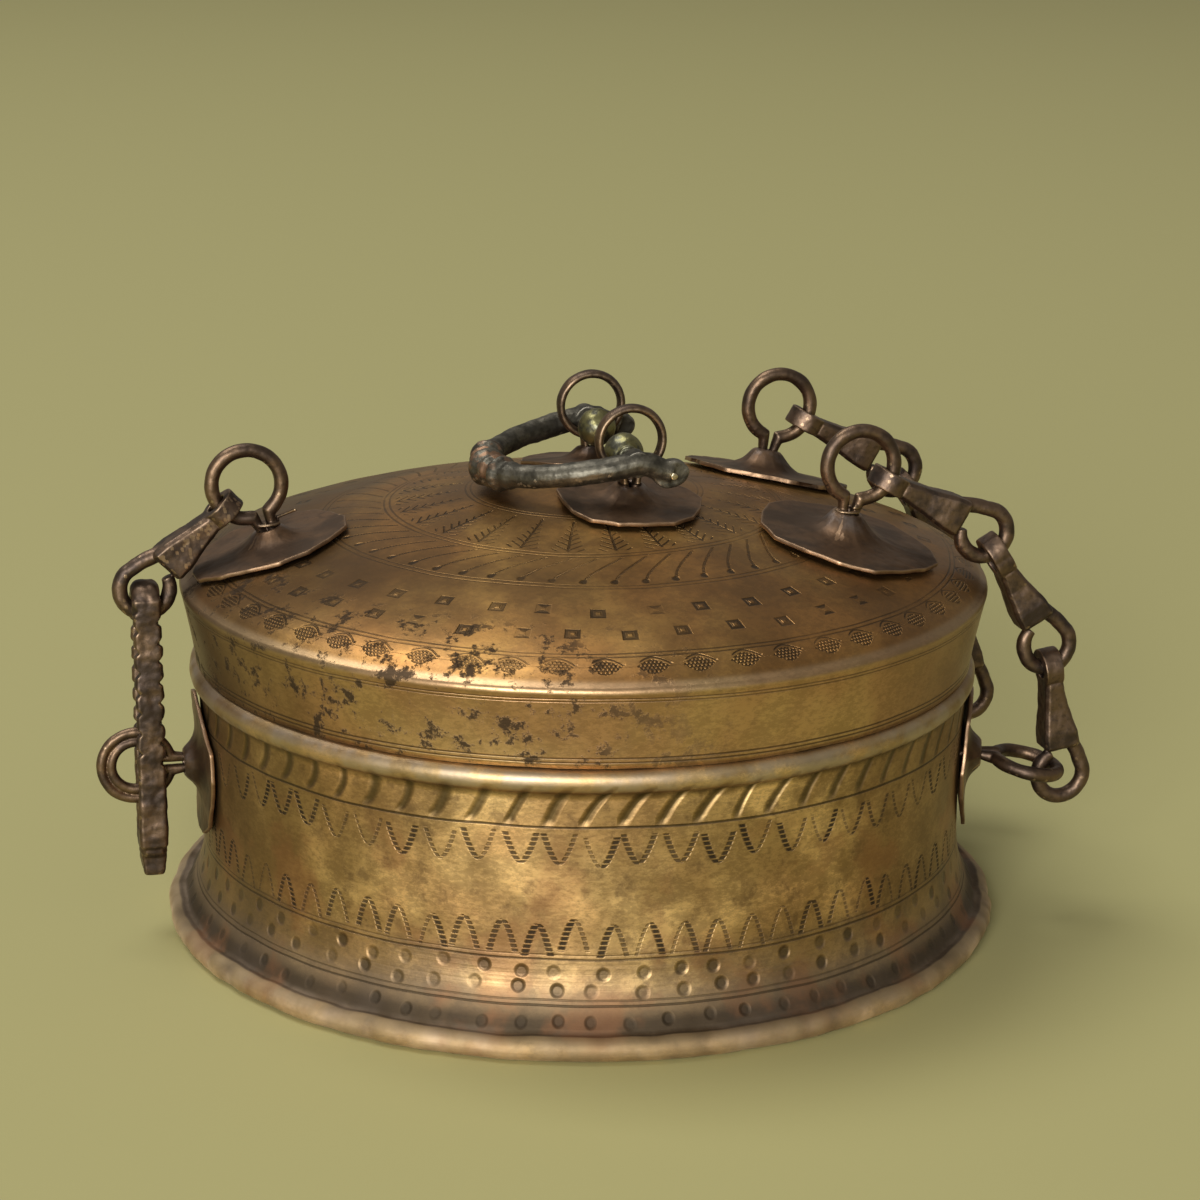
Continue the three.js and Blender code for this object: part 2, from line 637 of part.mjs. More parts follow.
// The outermost point of a chain staple's ring in the plane of its chain
function stapleWire(side) {
  const turn = side * chainStapleTurn;
  const outward = xAxis.clone().applyAxisAngle(yAxis, chainStapleDroop).applyAxisAngle(zAxis, turn);
  const aside = yAxis.clone().applyAxisAngle(zAxis, turn);
  const round = Math.atan(-Math.cos(chainStapleDroop) * Math.tan(turn));
  return new THREE.Vector3(chainStapleReach * Math.cos(turn), side * chainY, chainStapleZ - stapleSeat.aside)
    .addScaledVector(outward, bodyRing * Math.cos(round))
    .addScaledVector(aside, bodyRing * Math.sin(round));
}

// Chains: the last link stands on its staple, and the other two meet above the gap that is left
for (const [word, side] of [["front", -1], ["rear", 1]]) {
  const seat = loopCentre(lidRing, lidBoss, chainLean);
  const ring = new THREE.Vector3(
    chainLoopX + seat.aside, side * chainY, domeZ(Math.hypot(chainLoopX, chainY)) + seat.above);
  const staple = stapleWire(side);
  const foot = staple.clone().add(new THREE.Vector3(stapleSeatX, 0, -stapleSeatZ));
  const pitch = hookRadius + linkLength;
  const upper = along(foot, lastLinkAngle + Math.PI, pitch);
  const middle = elbow(ring, upper, lidRing + linkLength, pitch);
  place(add(`chain_${word}_upper_link`, link(lidRing, linkLength, 1, 0), linkBronze), ring, angleOf(ring, middle));
  place(add(`chain_${word}_middle_link`, link(hookRadius, linkLength, 1, eyeSlotLength), linkBronze),
    middle, angleOf(middle, upper));
  place(add(`chain_${word}_lower_link`, link(hookRadius, linkLength, 1, 0), linkBronze), upper, lastLinkAngle);
}

// Bail, its two pivot pins and the two small pins in its arm ends
const bailLoop = loopCentre(bailRing, bailBoss, 0, bandHalfDepth);
const bailPivotZ = domeZ(Math.hypot(bailLoopX, bailLoopY)) + bailLoop.above
  - (bailRing - bandHalfDepth) + pivotRadius + touchGap;
const bailGroup = new THREE.Group();
bailGroup.position.set(bailLoopX, 0, bailPivotZ);
bailGroup.rotation.y = -bailTilt;
box.add(bailGroup);
add("bail", bail(), bailBronze, bailGroup);
for (const [word, side] of [["front", -1], ["rear", 1]]) {
  const pin = add(`bail_pivot_${word}`, bailPin(), bailBronze, bailGroup);
  pin.position.y = side * bailHalfWidth;
  pin.rotation.z = side < 0 ? 0 : Math.PI;
  const outside = bailHalfWidth + discThickness / 2;
  const stud = add(`bail_stud_${word}`, new THREE.CylinderGeometry(eyePinRadius, eyePinRadius, eyePinLength, 10),
    pinBrass, bailGroup);
  stud.position.set(armOverrun, side * (outside + eyePinProud / 2 + touchGap), -armDroop);
}

export default box;
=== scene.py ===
# %% [markdown]
# # Brass storage box with a chained lid
# An old spun and hammered brass box: a drum with a rolled foot, a domed lid that slips over its neck, two
# chains of forged links behind, and a slotted hasp over a staple in front. The CAD model is loaded as a
# fixed frame, and each visible piece is built here again at full detail: worn edges, hammer marks, and
# the punched and engraved borders of the metal. Shapes are worked out in millimetres and stored in metres.

# %% Imports and the fixed frame
import json
import math
from collections import namedtuple

import bmesh
import bpy
from mathutils import Matrix, Vector, noise


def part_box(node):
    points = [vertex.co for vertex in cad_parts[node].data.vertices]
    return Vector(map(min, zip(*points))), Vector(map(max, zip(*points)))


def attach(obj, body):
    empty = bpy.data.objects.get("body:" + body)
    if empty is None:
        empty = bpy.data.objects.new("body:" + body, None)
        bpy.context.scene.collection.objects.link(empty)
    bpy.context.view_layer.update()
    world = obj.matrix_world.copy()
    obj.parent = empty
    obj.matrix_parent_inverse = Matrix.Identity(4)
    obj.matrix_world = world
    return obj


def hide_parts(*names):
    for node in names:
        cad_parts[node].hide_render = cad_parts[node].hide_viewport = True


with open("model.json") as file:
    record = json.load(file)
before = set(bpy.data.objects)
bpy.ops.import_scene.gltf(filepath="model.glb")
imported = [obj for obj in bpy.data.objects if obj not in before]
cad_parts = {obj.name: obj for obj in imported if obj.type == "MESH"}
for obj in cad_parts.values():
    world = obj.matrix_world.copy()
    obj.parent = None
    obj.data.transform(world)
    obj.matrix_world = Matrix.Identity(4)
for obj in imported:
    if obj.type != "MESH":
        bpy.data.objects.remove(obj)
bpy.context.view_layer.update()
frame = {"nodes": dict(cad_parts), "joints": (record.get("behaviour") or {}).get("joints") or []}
MM = 0.001
joints = {joint["name"]: joint for joint in frame["joints"]}


def joint_place(name):
    """A joint's place in millimetres."""
    return Vector(joints[name]["pos_m"]) / MM


def node_box(node):
    """Lowest and highest corner of a CAD node in millimetres."""
    low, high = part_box(node)
    return Vector(low) / MM, Vector(high) / MM


# %% [markdown]
# ## Camera
# The camera stands where the photograph was taken from: a long lens a little above the lid. The box is
# turned in that view so that its hasp points left and a little towards the camera. A camera can be placed
# by eye, but this one was fitted to measured points of the box, so that sizes could be read from the view.

# %% Camera
LENS = 90.6
SENSOR = 36
VIEW_TURN = math.radians(13.5)
EYE = Vector((0, -796.5, 316.0))
PITCH = 0.2807
YAW = 0.0057
ROLL = 0.0113

turn = Matrix.Rotation(-VIEW_TURN, 4, "Z")
look_down = Matrix.Rotation(math.pi / 2 - PITCH, 4, "X")
aim = Matrix.Rotation(-YAW, 4, "Z") @ look_down @ Matrix.Rotation(ROLL, 4, "Z")
camera_data = bpy.data.cameras.new("camera")
camera_data.lens = LENS
camera_data.sensor_width = SENSOR
camera = bpy.data.objects.new("camera", camera_data)
camera.matrix_world = turn @ Matrix.Translation(EYE * MM) @ aim
bpy.context.scene.collection.objects.link(camera)
bpy.context.scene.camera = camera
print("camera at", camera.matrix_world.translation)

# %% [markdown]
# ## Floor and light
# A plain pale floor in a soft olive tone, a wide soft light high above, and a large one beside the camera
# that lights the front of the drum and leaves its sides dark. A sun would be simpler, but its shadows are
# hard, and metal needs a broad light to mirror. Both lights stand far off, so the floor has no bright spot.

# %% Floor and light
FLOOR_COLOUR = (0.4, 0.37, 0.155, 1)
FLOOR_HALF = 7
FLOOR_ROUGHNESS = 0.85
SKY_COLOUR = (0.92, 0.87, 0.78, 1)
SKY_STRENGTH = 0.27

floor_mesh = bpy.data.meshes.new("floor")
corners = [(FLOOR_HALF * x, FLOOR_HALF * y, 0) for x, y in ((-1, -1), (1, -1), (1, 1), (-1, 1))]
floor_mesh.from_pydata(corners, [], [(0, 1, 2, 3)])
floor = bpy.data.objects.new("floor", floor_mesh)
bpy.context.scene.collection.objects.link(floor)
floor_material = bpy.data.materials.new("floor")
floor_material.use_nodes = True
floor_shader = floor_material.node_tree.nodes["Principled BSDF"]
floor_shader.inputs["Base Color"].default_value = FLOOR_COLOUR
floor_shader.inputs["Roughness"].default_value = FLOOR_ROUGHNESS
floor_mesh.materials.append(floor_material)

world = bpy.data.worlds.new("sky")
world.use_nodes = True
background = world.node_tree.nodes["Background"]
background.inputs["Color"].default_value = SKY_COLOUR
background.inputs["Strength"].default_value = SKY_STRENGTH
bpy.context.scene.world = world
bpy.context.scene.view_settings.view_transform = "Standard"


def area_light(name, place, target, size, watts):
    """A soft light aimed at a point, all in metres."""
    data = bpy.data.lights.new(name, "AREA")
    data.shape = "RECTANGLE"
    data.size, data.size_y = size
    data.energy = watts
    light = bpy.data.objects.new(name, data)
    light.location = turn @ Vector(place)
    light.rotation_mode = "QUATERNION"
    light.rotation_quaternion = (light.location - Vector(target)).to_track_quat("Z", "Y")
    bpy.context.scene.collection.objects.link(light)
    print(name, watts, "watts")


area_light("top_light", place=(-1.6, 0.8, 4.4), target=(-0.2, 0.7, 0.05), size=(2.4, 2.4), watts=112)
area_light("front_light", place=(-0.9, -3.7, 1.2), target=(0, 0, 0.06), size=(1.8, 1.6), watts=150)

# %% [markdown]
# ## Material helper
# The box has some thousands of punched marks. Each could be cut into the mesh, but that would make it far
# too heavy, and a painted picture would stretch and show its seam. Here a border is arithmetic on the
# surface's own coordinates, in millimetres, so every mark has a real size and place. A value can be added,
# multiplied and compared like a number, and each step becomes one maths node.


# %% Material helper
def maths(operation):
    """One maths node, as an operator or a method of a value."""
    def step(value, *others):
        return value.graph.math(operation, value, *others)
    return step


class Value:
    """A number that differs over the surface."""

    __add__ = maths("ADD")
    __sub__ = maths("SUBTRACT")
    __mul__ = maths("MULTIPLY")
    __truediv__ = maths("DIVIDE")
    __pow__ = maths("POWER")
    __gt__ = maths("GREATER_THAN")
    __abs__ = maths("ABSOLUTE")
    at_most = maths("MINIMUM")
    at_least = maths("MAXIMUM")
    fract = maths("FRACT")
    floor = maths("FLOOR")
    root = maths("SQRT")

    def __init__(self, graph, socket):
        self.graph = graph
        self.socket = socket

    def __rsub__(self, other):
        return self.graph.math("SUBTRACT", other, self)

    def fade(self, start, end):
        """1 at or below start, 0 at or above end, smooth between; the other way round if start > end."""
        made = self.graph.node("ShaderNodeMapRange", interpolation_type="SMOOTHSTEP")
        low, high = sorted((start, end))
        self.graph.feed(made.inputs["Value"], self)
        made.inputs["From Min"].default_value = low
        made.inputs["From Max"].default_value = high
        made.inputs["To Min"].default_value = 1.0 if start < end else 0.0
        made.inputs["To Max"].default_value = 0.0 if start < end else 1.0
        return Value(self.graph, made.outputs["Result"])


# %% [markdown]
# ## Material graph
# One graph is made for each metal. It gives the place on the surface in millimetres, noise for dirt and
# wear, and a number of its own for every punched mark. Wiring nodes by hand in the editor gives the same
# graph, but a method for each kind keeps the borders' code short.


# %% Material graph
class Graph:
    """Adds maths, noise and colour nodes to one material."""

    def __init__(self, name):
        self.material = bpy.data.materials.new(name)
        self.material.use_nodes = True
        self.tree = self.material.node_tree
        self.shader = self.tree.nodes["Principled BSDF"]
        place = self.node("ShaderNodeTexCoord").outputs["Object"]
        scaled = self.node("ShaderNodeVectorMath", operation="SCALE")
        self.tree.links.new(place, scaled.inputs[0])
        scaled.inputs["Scale"].default_value = 1 / MM
        self.place = scaled.outputs[0]
        split = self.node("ShaderNodeSeparateXYZ")
        self.tree.links.new(self.place, split.inputs[0])
        self.x, self.y, self.z = (Value(self, socket) for socket in split.outputs)

    def node(self, kind, **settings):
        made = self.tree.nodes.new(kind)
        for key, value in settings.items():
            setattr(made, key, value)
        return made

    def feed(self, socket, value):
        """Links a value to a socket, or writes a plain number or colour there."""
        if isinstance(value, Value):
            value = value.socket
        if isinstance(value, bpy.types.NodeSocket):
            self.tree.links.new(value, socket)
        else:
            socket.default_value = value

    def math(self, operation, *values):
        made = self.node("ShaderNodeMath", operation=operation)
        for socket, value in zip(made.inputs, values):
            self.feed(socket, value)
        return Value(self, made.outputs[0])

    def from_axis(self):
        """Distance from the Z axis."""
        return (self.x * self.x + self.y * self.y).root()

    def turn_round(self):
        """Angle round the Z axis."""
        return self.math("ARCTAN2", self.y, self.x)

    def noise(self, scale, detail=3.0, stretch=(1, 1, 1), roughness=0.55, shift=0.0):
        """Smooth noise from 0 to 1; scale is the size of its features in millimetres."""
        mapping = self.node("ShaderNodeVectorMath", operation="MULTIPLY_ADD")
        self.feed(mapping.inputs[0], self.place)
        mapping.inputs[1].default_value = [s / scale for s in stretch]
        mapping.inputs[2].default_value = (shift, shift * 0.7, -shift)
        made = self.node("ShaderNodeTexNoise")
        self.feed(made.inputs["Vector"], mapping.outputs[0])
        made.inputs["Scale"].default_value = 1.0
        made.inputs["Detail"].default_value = detail
        made.inputs["Roughness"].default_value = roughness
        return Value(self, made.outputs[0])

    def sway(self, reach, *noise_settings, **more):
        """Noise from -reach/2 to reach/2, to lead a line astray."""
        return (self.noise(*noise_settings, **more) - 0.5) * reach

    def chance(self, *cells):
        """A number from 0 to 1 that is fixed for each whole-numbered cell."""
        join = self.node("ShaderNodeCombineXYZ")
        for socket, value in zip(join.inputs, cells):
            self.feed(socket, value)
        made = self.node("ShaderNodeTexWhiteNoise", noise_dimensions="3D")
        self.feed(made.inputs["Vector"], join.outputs[0])
        return Value(self, made.outputs["Value"])

    def stray(self, number, row, reach):
        """How far one hand-struck mark of a row stands off its place."""
        return (self.chance(number, row) - 0.5) * reach

    def attribute(self, name):
        return Value(self, self.node("ShaderNodeAttribute", attribute_name=name).outputs["Fac"])

    def blend(self, share, first, second):
        made = self.node("ShaderNodeMix", data_type="RGBA")
        self.feed(made.inputs["Factor"], share)
        for socket, value in ((made.inputs["A"], first), (made.inputs["B"], second)):
            self.feed(socket, (*value, 1) if isinstance(value, tuple) else value)
        return Value(self, made.outputs["Result"])

    def coat(self, colour, coats):
        """Lays coats over a colour one by one; each is where it lies, how strongly, and its tone."""
        for where, strength, tone in coats:
            colour = self.blend(where * strength, colour, tone)
        return colour

    def edges(self, reach):
        """Around 0.5 on flat metal, more on ridges: where hands have rubbed it bright."""
        shape = self.node("ShaderNodeNewGeometry")
        made = self.math("MULTIPLY_ADD", Value(self, shape.outputs["Pointiness"]), reach, 0.5 - reach / 2)
        made.socket.node.use_clamp = True
        return made

    def finish(self, colour, roughness, relief):
        """Connects the surface; relief is a height in millimetres."""
        self.feed(self.shader.inputs["Base Color"], colour)
        self.feed(self.shader.inputs["Roughness"], roughness)
        self.shader.inputs["Metallic"].default_value = 1.0
        bump = self.node("ShaderNodeBump")
        bump.inputs["Strength"].default_value = 1.0
        bump.inputs["Distance"].default_value = MM
        self.feed(bump.inputs["Height"], relief)
        self.tree.links.new(bump.outputs[0], self.shader.inputs["Normal"])
        return self.material


# %% [markdown]
# ## Marks that both shells share
# `ring_cells` cuts a ring into equal cells and gives the place inside a cell along the ring, in
# millimetres, with a number for each cell that varies its hand-struck mark. The borders are struck from
# outside, so two more helpers find the outer face of the drum's and the lid's sheet. A second material for
# the inside would do that too, but it would leave a sharp change of metal at the rim.

# %% Marks
# Painted shade: the axis below runs along the camera's line of sight. The mask built on it darkens the two
# sides of the box that the camera sees edge on: fully within the first distance below, and not at all
# beyond the second.
SIDE_SHADE_AXIS = (0.233, 0.972)
SIDE_SHADE_FROM, SIDE_SHADE_TO = 52, 98
GRAIN_BROWN = (0.15, 0.088, 0.04)


def total(values):
    first, *rest = values
    for value in rest:
        first = first + value
    return first


def ring_cells(g, radius, count, shift=0.0, turned=None):
    """Splits a ring into count cells: distance along the ring from the cell's middle, and its number."""
    turn_here = turned or g.turn_round()
    share = turn_here * (count / (2 * math.pi)) + (shift + count)
    along = (share.fract() - 0.5) * (2 * math.pi * radius / count)
    return along, share.floor()


def painted_side_shade(g):
    """Painted shade: 0 in front and behind as the camera sees the box, and 1 at its two sides, which are
    darkened.
    """
    across = g.x * SIDE_SHADE_AXIS[0] + g.y * SIDE_SHADE_AXIS[1]
    return (abs(across) + g.sway(40, 24, 4, shift=61.0)).fade(SIDE_SHADE_FROM, SIDE_SHADE_TO)


def brown_grain(g):
    """Fine dark grain of old patina, drawn out a little round the turned metal."""
    grain = g.noise(1.5, 6, (0.7, 0.7, 1.5), roughness=0.8, shift=93.0)
    return (grain + g.sway(0.5, 11, 4, shift=95.0)).fade(0.6, 0.4)


def groove(distance, width):
    """1 in the middle of an engraved line, 0 outside it."""
    return abs(distance).fade(width * 0.35, width)


def double_groove(distance, spacing, width):
    return groove(abs(distance) - spacing / 2, width)


def outer_wall(g):
    """1 on the drum's outer face, 0 on the inside of its sheet, from the wall's own form."""
    foot, waist, shoulder = 6.0, 33.0, 67.0
    waist_radius, foot_gain, shoulder_gain = 103.5, 6.1, 0.7
    below = ((waist - g.z) / (waist - foot)).at_least(0.0)
    above = ((g.z - waist) / (shoulder - waist)).at_least(0.0)
    flare = below ** 3.26 * foot_gain
    return g.from_axis() > flare + above * above * shoulder_gain + waist_radius


def outer_lid(g):
    """1 on the lid's outer face, 0 inside, apart from a strip inside the rim that this misses."""
    flat = g.from_axis()
    dome_radius, dome_rise, dome_foot = 106.4, 25.8, 95.4
    skirt_low, skirt_height, skirt_radius, skirt_gain = 74.3, 20.2, 105.25, 2.1
    fall = 1.0 - (flat / dome_radius).at_most(1.0) ** 1.15
    on_dome = g.z > fall ** 0.65 * dome_rise + dome_foot
    share = ((g.z - skirt_low) / skirt_height).at_least(0.0)
    on_skirt = flat > share ** 1.25 * skirt_gain + skirt_radius
    return on_dome.at_least(on_skirt)


# %% [markdown]
# ## Marks on the drum
# From the top: slanted strokes of the hammer under the bead, a line, chevrons that point down, chevrons
# that point up, and three rows of round dots between lines. Each arm of a chevron is a row of notches.
# A stamp brush would strike them all alike, and here each one is moved and worn a little by its own number.

# %% Drum marks
BORDER_RADIUS = 105
NOTCH_LENGTH = 1.25


def chevrons(g, up, count, middle, half_height, half_width, point_up, shift):
    """A row of V marks; one arm of each was struck harder than the other, and a few are missing."""
    along, number = ring_cells(g, BORDER_RADIUS, count, shift)
    along = along + g.stray(number, 3.0, 1.6)
    rise = (up - middle - g.stray(number, 5.0, 1.8)) / half_height
    open_side = rise * -1.0 if point_up else rise
    arm = ((open_side + 1.0) * 0.5).at_least(0.0) ** 0.62 * half_width
    off = abs(abs(along) - arm)
    right = along > 0.0
    hard = g.chance(number, right + 7.0)
    line = (off / (hard * 0.55 + 0.42)).fade(0.55, 1.25)
    inside = abs(rise).fade(0.98, 1.08)
    notch = abs((up / NOTCH_LENGTH + hard * 3.0).fract() - 0.5).fade(0.27, 0.4)
    struck = g.chance(number, 11.0).fade(0.9, 0.94)
    return line * inside * notch * (struck * (hard * 0.6 + 0.4))


def dots(g, up, count, middle, shift, size):
    along, number = ring_cells(g, BORDER_RADIUS + 1, count, shift)
    along = along + g.stray(number, 13.0, 3.2)
    rise = up - middle + g.stray(number, 17.0, 1.8)
    far = (along * along + rise * rise).root()
    return far.fade(size * 0.45, size) * (g.chance(number, 19.0) * 0.6 + 0.4)


def strokes(g, up, count, middle, half_height):
    """Slanted strokes, which bend to crescents on the hasp's side."""
    along, number = ring_cells(g, BORDER_RADIUS, count, 0.2)
    rise = (up - middle) / half_height
    crescent = g.x.fade(-75, -20)
    lean = (g.chance(number, 23.0) * 1.4 + 2.9) * (1.0 - crescent * 0.55)
    bow = crescent * -3.0 + 1.0
    off = along - (rise * lean + rise * rise * bow - 0.8)
    width = g.chance(number, 29.0) * 0.7 + 1.5
    return (abs(off) / width).fade(0.1, 1.05) * abs(rise).fade(0.55, 1.1)


# %% [markdown]
# ## The drum's metal
# Over the pale metal lie thin coats: brown patina, smut, a grey foot, a brown grain, and black in every
# struck mark. Painted shade darkens the two sides that the camera sees, and painted highlights lie on the
# rolled hem and the bead. One mixed noise would look like marble. Coats laid one by one, each in its own
# place, age the box as hands and dust did, and lay in its painted shade and highlights.

# %% Drum metal
# Height, width and strength of each engraved line
DRUM_LINES = [(58.7, 0.42, 1.0), (23.8, 0.35, 0.8), (12.3, 0.35, 0.8), (13.6, 0.3, 0.5), (25.0, 0.28, 0.4)]
PALE_BRASS = (0.92, 0.63, 0.28)
WARM_BRASS = (0.78, 0.48, 0.21)
RUBBED_BRASS = (0.62, 0.47, 0.26)
BROWN = (0.36, 0.225, 0.095)
SMUT = (0.15, 0.092, 0.045)
DRUM_SIDE_SHADE = (0.17, 0.1, 0.045)
COPPER_BLUSH = (0.36, 0.17, 0.08)
FOOT_GREY = (0.36, 0.265, 0.16)
FOOT_SMUT = (0.13, 0.1, 0.075)
FLARE_GREY = (0.2, 0.15, 0.1)
HEM_HIGHLIGHT = (0.85, 0.66, 0.47)
CREASE_BLACK = (0.07, 0.052, 0.035)
BEAD_HIGHLIGHT = (0.4, 0.34, 0.29)
BEAD_SHADE = (0.12, 0.08, 0.035)
STROKE_SHADE = (0.1, 0.07, 0.03)
DOT_SHADE = (0.075, 0.058, 0.04)
PUNCH_BLACK = (0.03, 0.024, 0.018)
LINE_BLACK = (0.05, 0.036, 0.022)


def body_brass():
    g = Graph("body_brass")
    height = g.z
    up = height + g.sway(1.6, 40, 2)
    outside = outer_wall(g)
    lines = total(groove(up - line, width) * strength for line, width, strength in DRUM_LINES) * outside
    punched = (
        chevrons(g, up, count=66, middle=52.6, half_height=3.9, half_width=3.9, point_up=False, shift=0.0)
        + chevrons(g, up, count=72, middle=29.6, half_height=4.1, half_width=3.3, point_up=True, shift=0.35)
    ) * outside
    dented = (
        dots(g, up, count=66, middle=20.9, shift=0.0, size=2.1)
        + dots(g, up, count=64, middle=16.2, shift=0.5, size=2.1)
        + dots(g, up, count=70, middle=8.9, shift=0.25, size=1.8)
    ) * outside
    hammered = strokes(g, up, count=70, middle=64.2, half_height=5.5) * outside

    turned = g.noise(1.2, 3, (0.02, 0.02, 1.0))
    fine = g.noise(0.7, 2)
    mottle = g.noise(16, 5, shift=3.0)
    patches = g.noise(34, 3, shift=9.0)
    smut = g.noise(7, 6, shift=5.0, roughness=0.7)
    low_band = height.fade(24, 27)
    flare = height.fade(12, 18) * height.fade(7.5, 5)
    # Painted highlight: pale patches on the top of the rolled hem.
    hem = height.fade(6.2, 7.6) * g.noise(13, 4, shift=97.0).fade(0.66, 0.38)
    # Painted highlight: a bluish-grey sheen in patches on the shoulder bead.
    bead = abs(height - 71.0).fade(1.6, 3.4) * g.noise(9, 3, shift=81.0).fade(0.62, 0.4)
    blush = g.noise(21, 4, shift=77.0).fade(0.63, 0.5) * height.fade(46, 66)

    colour = g.blend(patches.fade(0.4, 0.62), PALE_BRASS, WARM_BRASS)
    colour = g.coat(colour, [
        (mottle.fade(0.42, 0.64), 0.7, BROWN),
        (smut.fade(0.66, 0.52), 0.5, SMUT),
        (brown_grain(g), 0.42, GRAIN_BROWN),
        # Painted shade: the drum's two sides, as the camera sees them, are darkened.
        (painted_side_shade(g), 0.72, DRUM_SIDE_SHADE),
        (height.fade(12, 31), 0.42, FOOT_GREY),
        (flare, 0.62, FLARE_GREY),
        # Painted highlight on the rolled hem.
        (hem, 0.75, HEM_HIGHLIGHT),
        (abs(height - 7.6).fade(0.8, 4.4), 0.8, CREASE_BLACK),
        (low_band * g.noise(22, 4, shift=12.0).fade(0.62, 0.44), 0.4, FOOT_SMUT),
        # Painted highlight on the shoulder bead.
        (bead, 0.72, BEAD_HIGHLIGHT),
        (blush, 0.42, COPPER_BLUSH),
        (abs(height - 67.6).fade(0.2, 1.8), 0.5, BEAD_SHADE),
        (hammered, 0.82, STROKE_SHADE),
        (dented, 0.75, DOT_SHADE),
        (punched.at_most(1.0), 0.93, PUNCH_BLACK),
        (lines.at_most(1.0), 0.8, LINE_BLACK),
        (g.edges(6.0).fade(0.7, 0.56), 0.5, RUBBED_BRASS),
    ])
    relief = total([
        lines * -0.16, punched * -0.22, dented * -0.42, hammered * -0.55,
        turned * (low_band * 0.07 + 0.03), fine * 0.022, mottle * 0.2,
    ])
    dull_foot = height.fade(10, 19) * 0.24
    rough = total([mottle * 0.16, smut * 0.14, punched.at_most(1.0) * 0.2, dull_foot, 0.34])
    return g.finish(colour, rough, relief)


# %% [markdown]
# ## Figures on the lid
# From the rim inwards: a double line, almonds filled with beads, two rows of small squares, curved dotted
# feathers that end in drops between double lines, and barbed rays round the bare middle. An array of cut
# shapes could follow the rings, but on the dome each would have to be bent. A figure that is written as a
# distance along and across its ring lies on the metal by itself.

# %% Lid figures
ALMOND_HALF, ALMOND_BULGE = 4.1, 2.15
BEAD_ROW, BEAD_COLUMN = 0.88, 1.02
SQUARE_HALF = 1.55
PEARL_LENGTH = 1.05
BARB_PITCH, BARB_WIDE, BARB_NARROW = 2.6, 3.9, 0.6


def almonds(g, away, radius, count):
    along, number = ring_cells(g, radius, count, 0.1)
    along = along + g.stray(number, 3.0, 1.2)
    across = away - radius
    bulge = (1.0 - (abs(along).at_most(ALMOND_HALF) / ALMOND_HALF) ** 1.7) * ALMOND_BULGE
    inside = (abs(across) - bulge).fade(-0.25, 0.1)
    row = across / BEAD_ROW
    column = along / BEAD_COLUMN + row.floor() * 0.5
    a, b = (v.fract() - 0.5 for v in (column, row))
    bead = (a * a + b * b).root().fade(0.2, 0.5)
    outline = groove(across + bulge + 0.75, 0.34) * abs(along - 0.8).fade(3.4, 4.2)
    return (inside * (1.0 - bead) + outline).at_most(1.0)


def squares(g, away, radius, count, shift):
    """Small hollow squares; some are worn on the two sides that lie along the ring's radius."""
    along, number = ring_cells(g, radius, count, shift)
    along = along + g.stray(number, 5.0, 2.0)
    across = away - radius + g.stray(number, 7.0, 1.6)
    wide = abs(along).at_least(abs(across))
    outline = groove(wide - SQUARE_HALF, 0.5)
    hollow = wide.fade(1.1, 1.4) * wide.fade(0.75, 0.4)
    worn = g.chance(number, 11.0).fade(0.25, 0.3)
    on_side = abs(along) > abs(across)
    return (outline + hollow * 0.75).at_most(1.0) * (1.0 - worn * on_side * 0.85)


def feathers(g, away, inner, outer, count, sweep):
    """Curved rows of pearls that end in a drop at the outer line."""
    back = 1.0 - ((away - inner) / (outer - inner)).at_least(0.0).at_most(1.0)
    swept = back ** 1.7 * sweep
    middle = (inner + outer) / 2
    along, number = ring_cells(g, middle + 1, count, 0.0, g.turn_round() - swept / 62.0)
    slope = back ** 0.7 * (sweep * 1.7 / (outer - inner))
    off = along / (slope * slope + 1.0).root()
    pearl = abs(((away - swept) / PEARL_LENGTH).fract() - 0.5).fade(0.24, 0.42)
    line = abs(off).fade(0.2, 0.5) * pearl
    drop_along = along + 0.3
    drop_across = (away - (outer - 0.6)) * 0.8
    drop = (drop_along * drop_along + drop_across * drop_across).root().fade(0.5, 1.15)
    inside = away.fade(outer + 0.6, outer + 0.9) * away.fade(inner + 0.4, inner - 0.2)
    return (line + drop).at_most(1.0) * inside


def barbed_rays(g, away, inner, outer, count):
    along, number = ring_cells(g, (inner + outer) / 2, count, 0.3)
    share = (away - inner) / (outer - inner)
    side = abs(along)
    barb = groove((((away + side * 0.9) / BARB_PITCH).fract() - 0.5) * BARB_PITCH, 0.42)
    width = (1.0 - share) * BARB_NARROW + share * BARB_WIDE
    barbs = barb * (side - width).fade(-0.3, 0.1)
    inside = away.fade(outer, outer + 0.5) * away.fade(inner, inner - 0.5)
    return (groove(along, 0.4) + barbs).at_most(1.0) * inside


# %% [markdown]
# ## The lid's metal
# The dome is a deeper gold than the skirt, and dark stains gather on the hasp's side. Painted shade darkens
# the lid's two sides as the camera sees them, most on the hasp's side, and a painted highlight runs round
# the rolled rim. Dome and skirt could be two materials, but they are one sheet, so one graph changes its
# tone with height. The skirt has two double lines of its own.

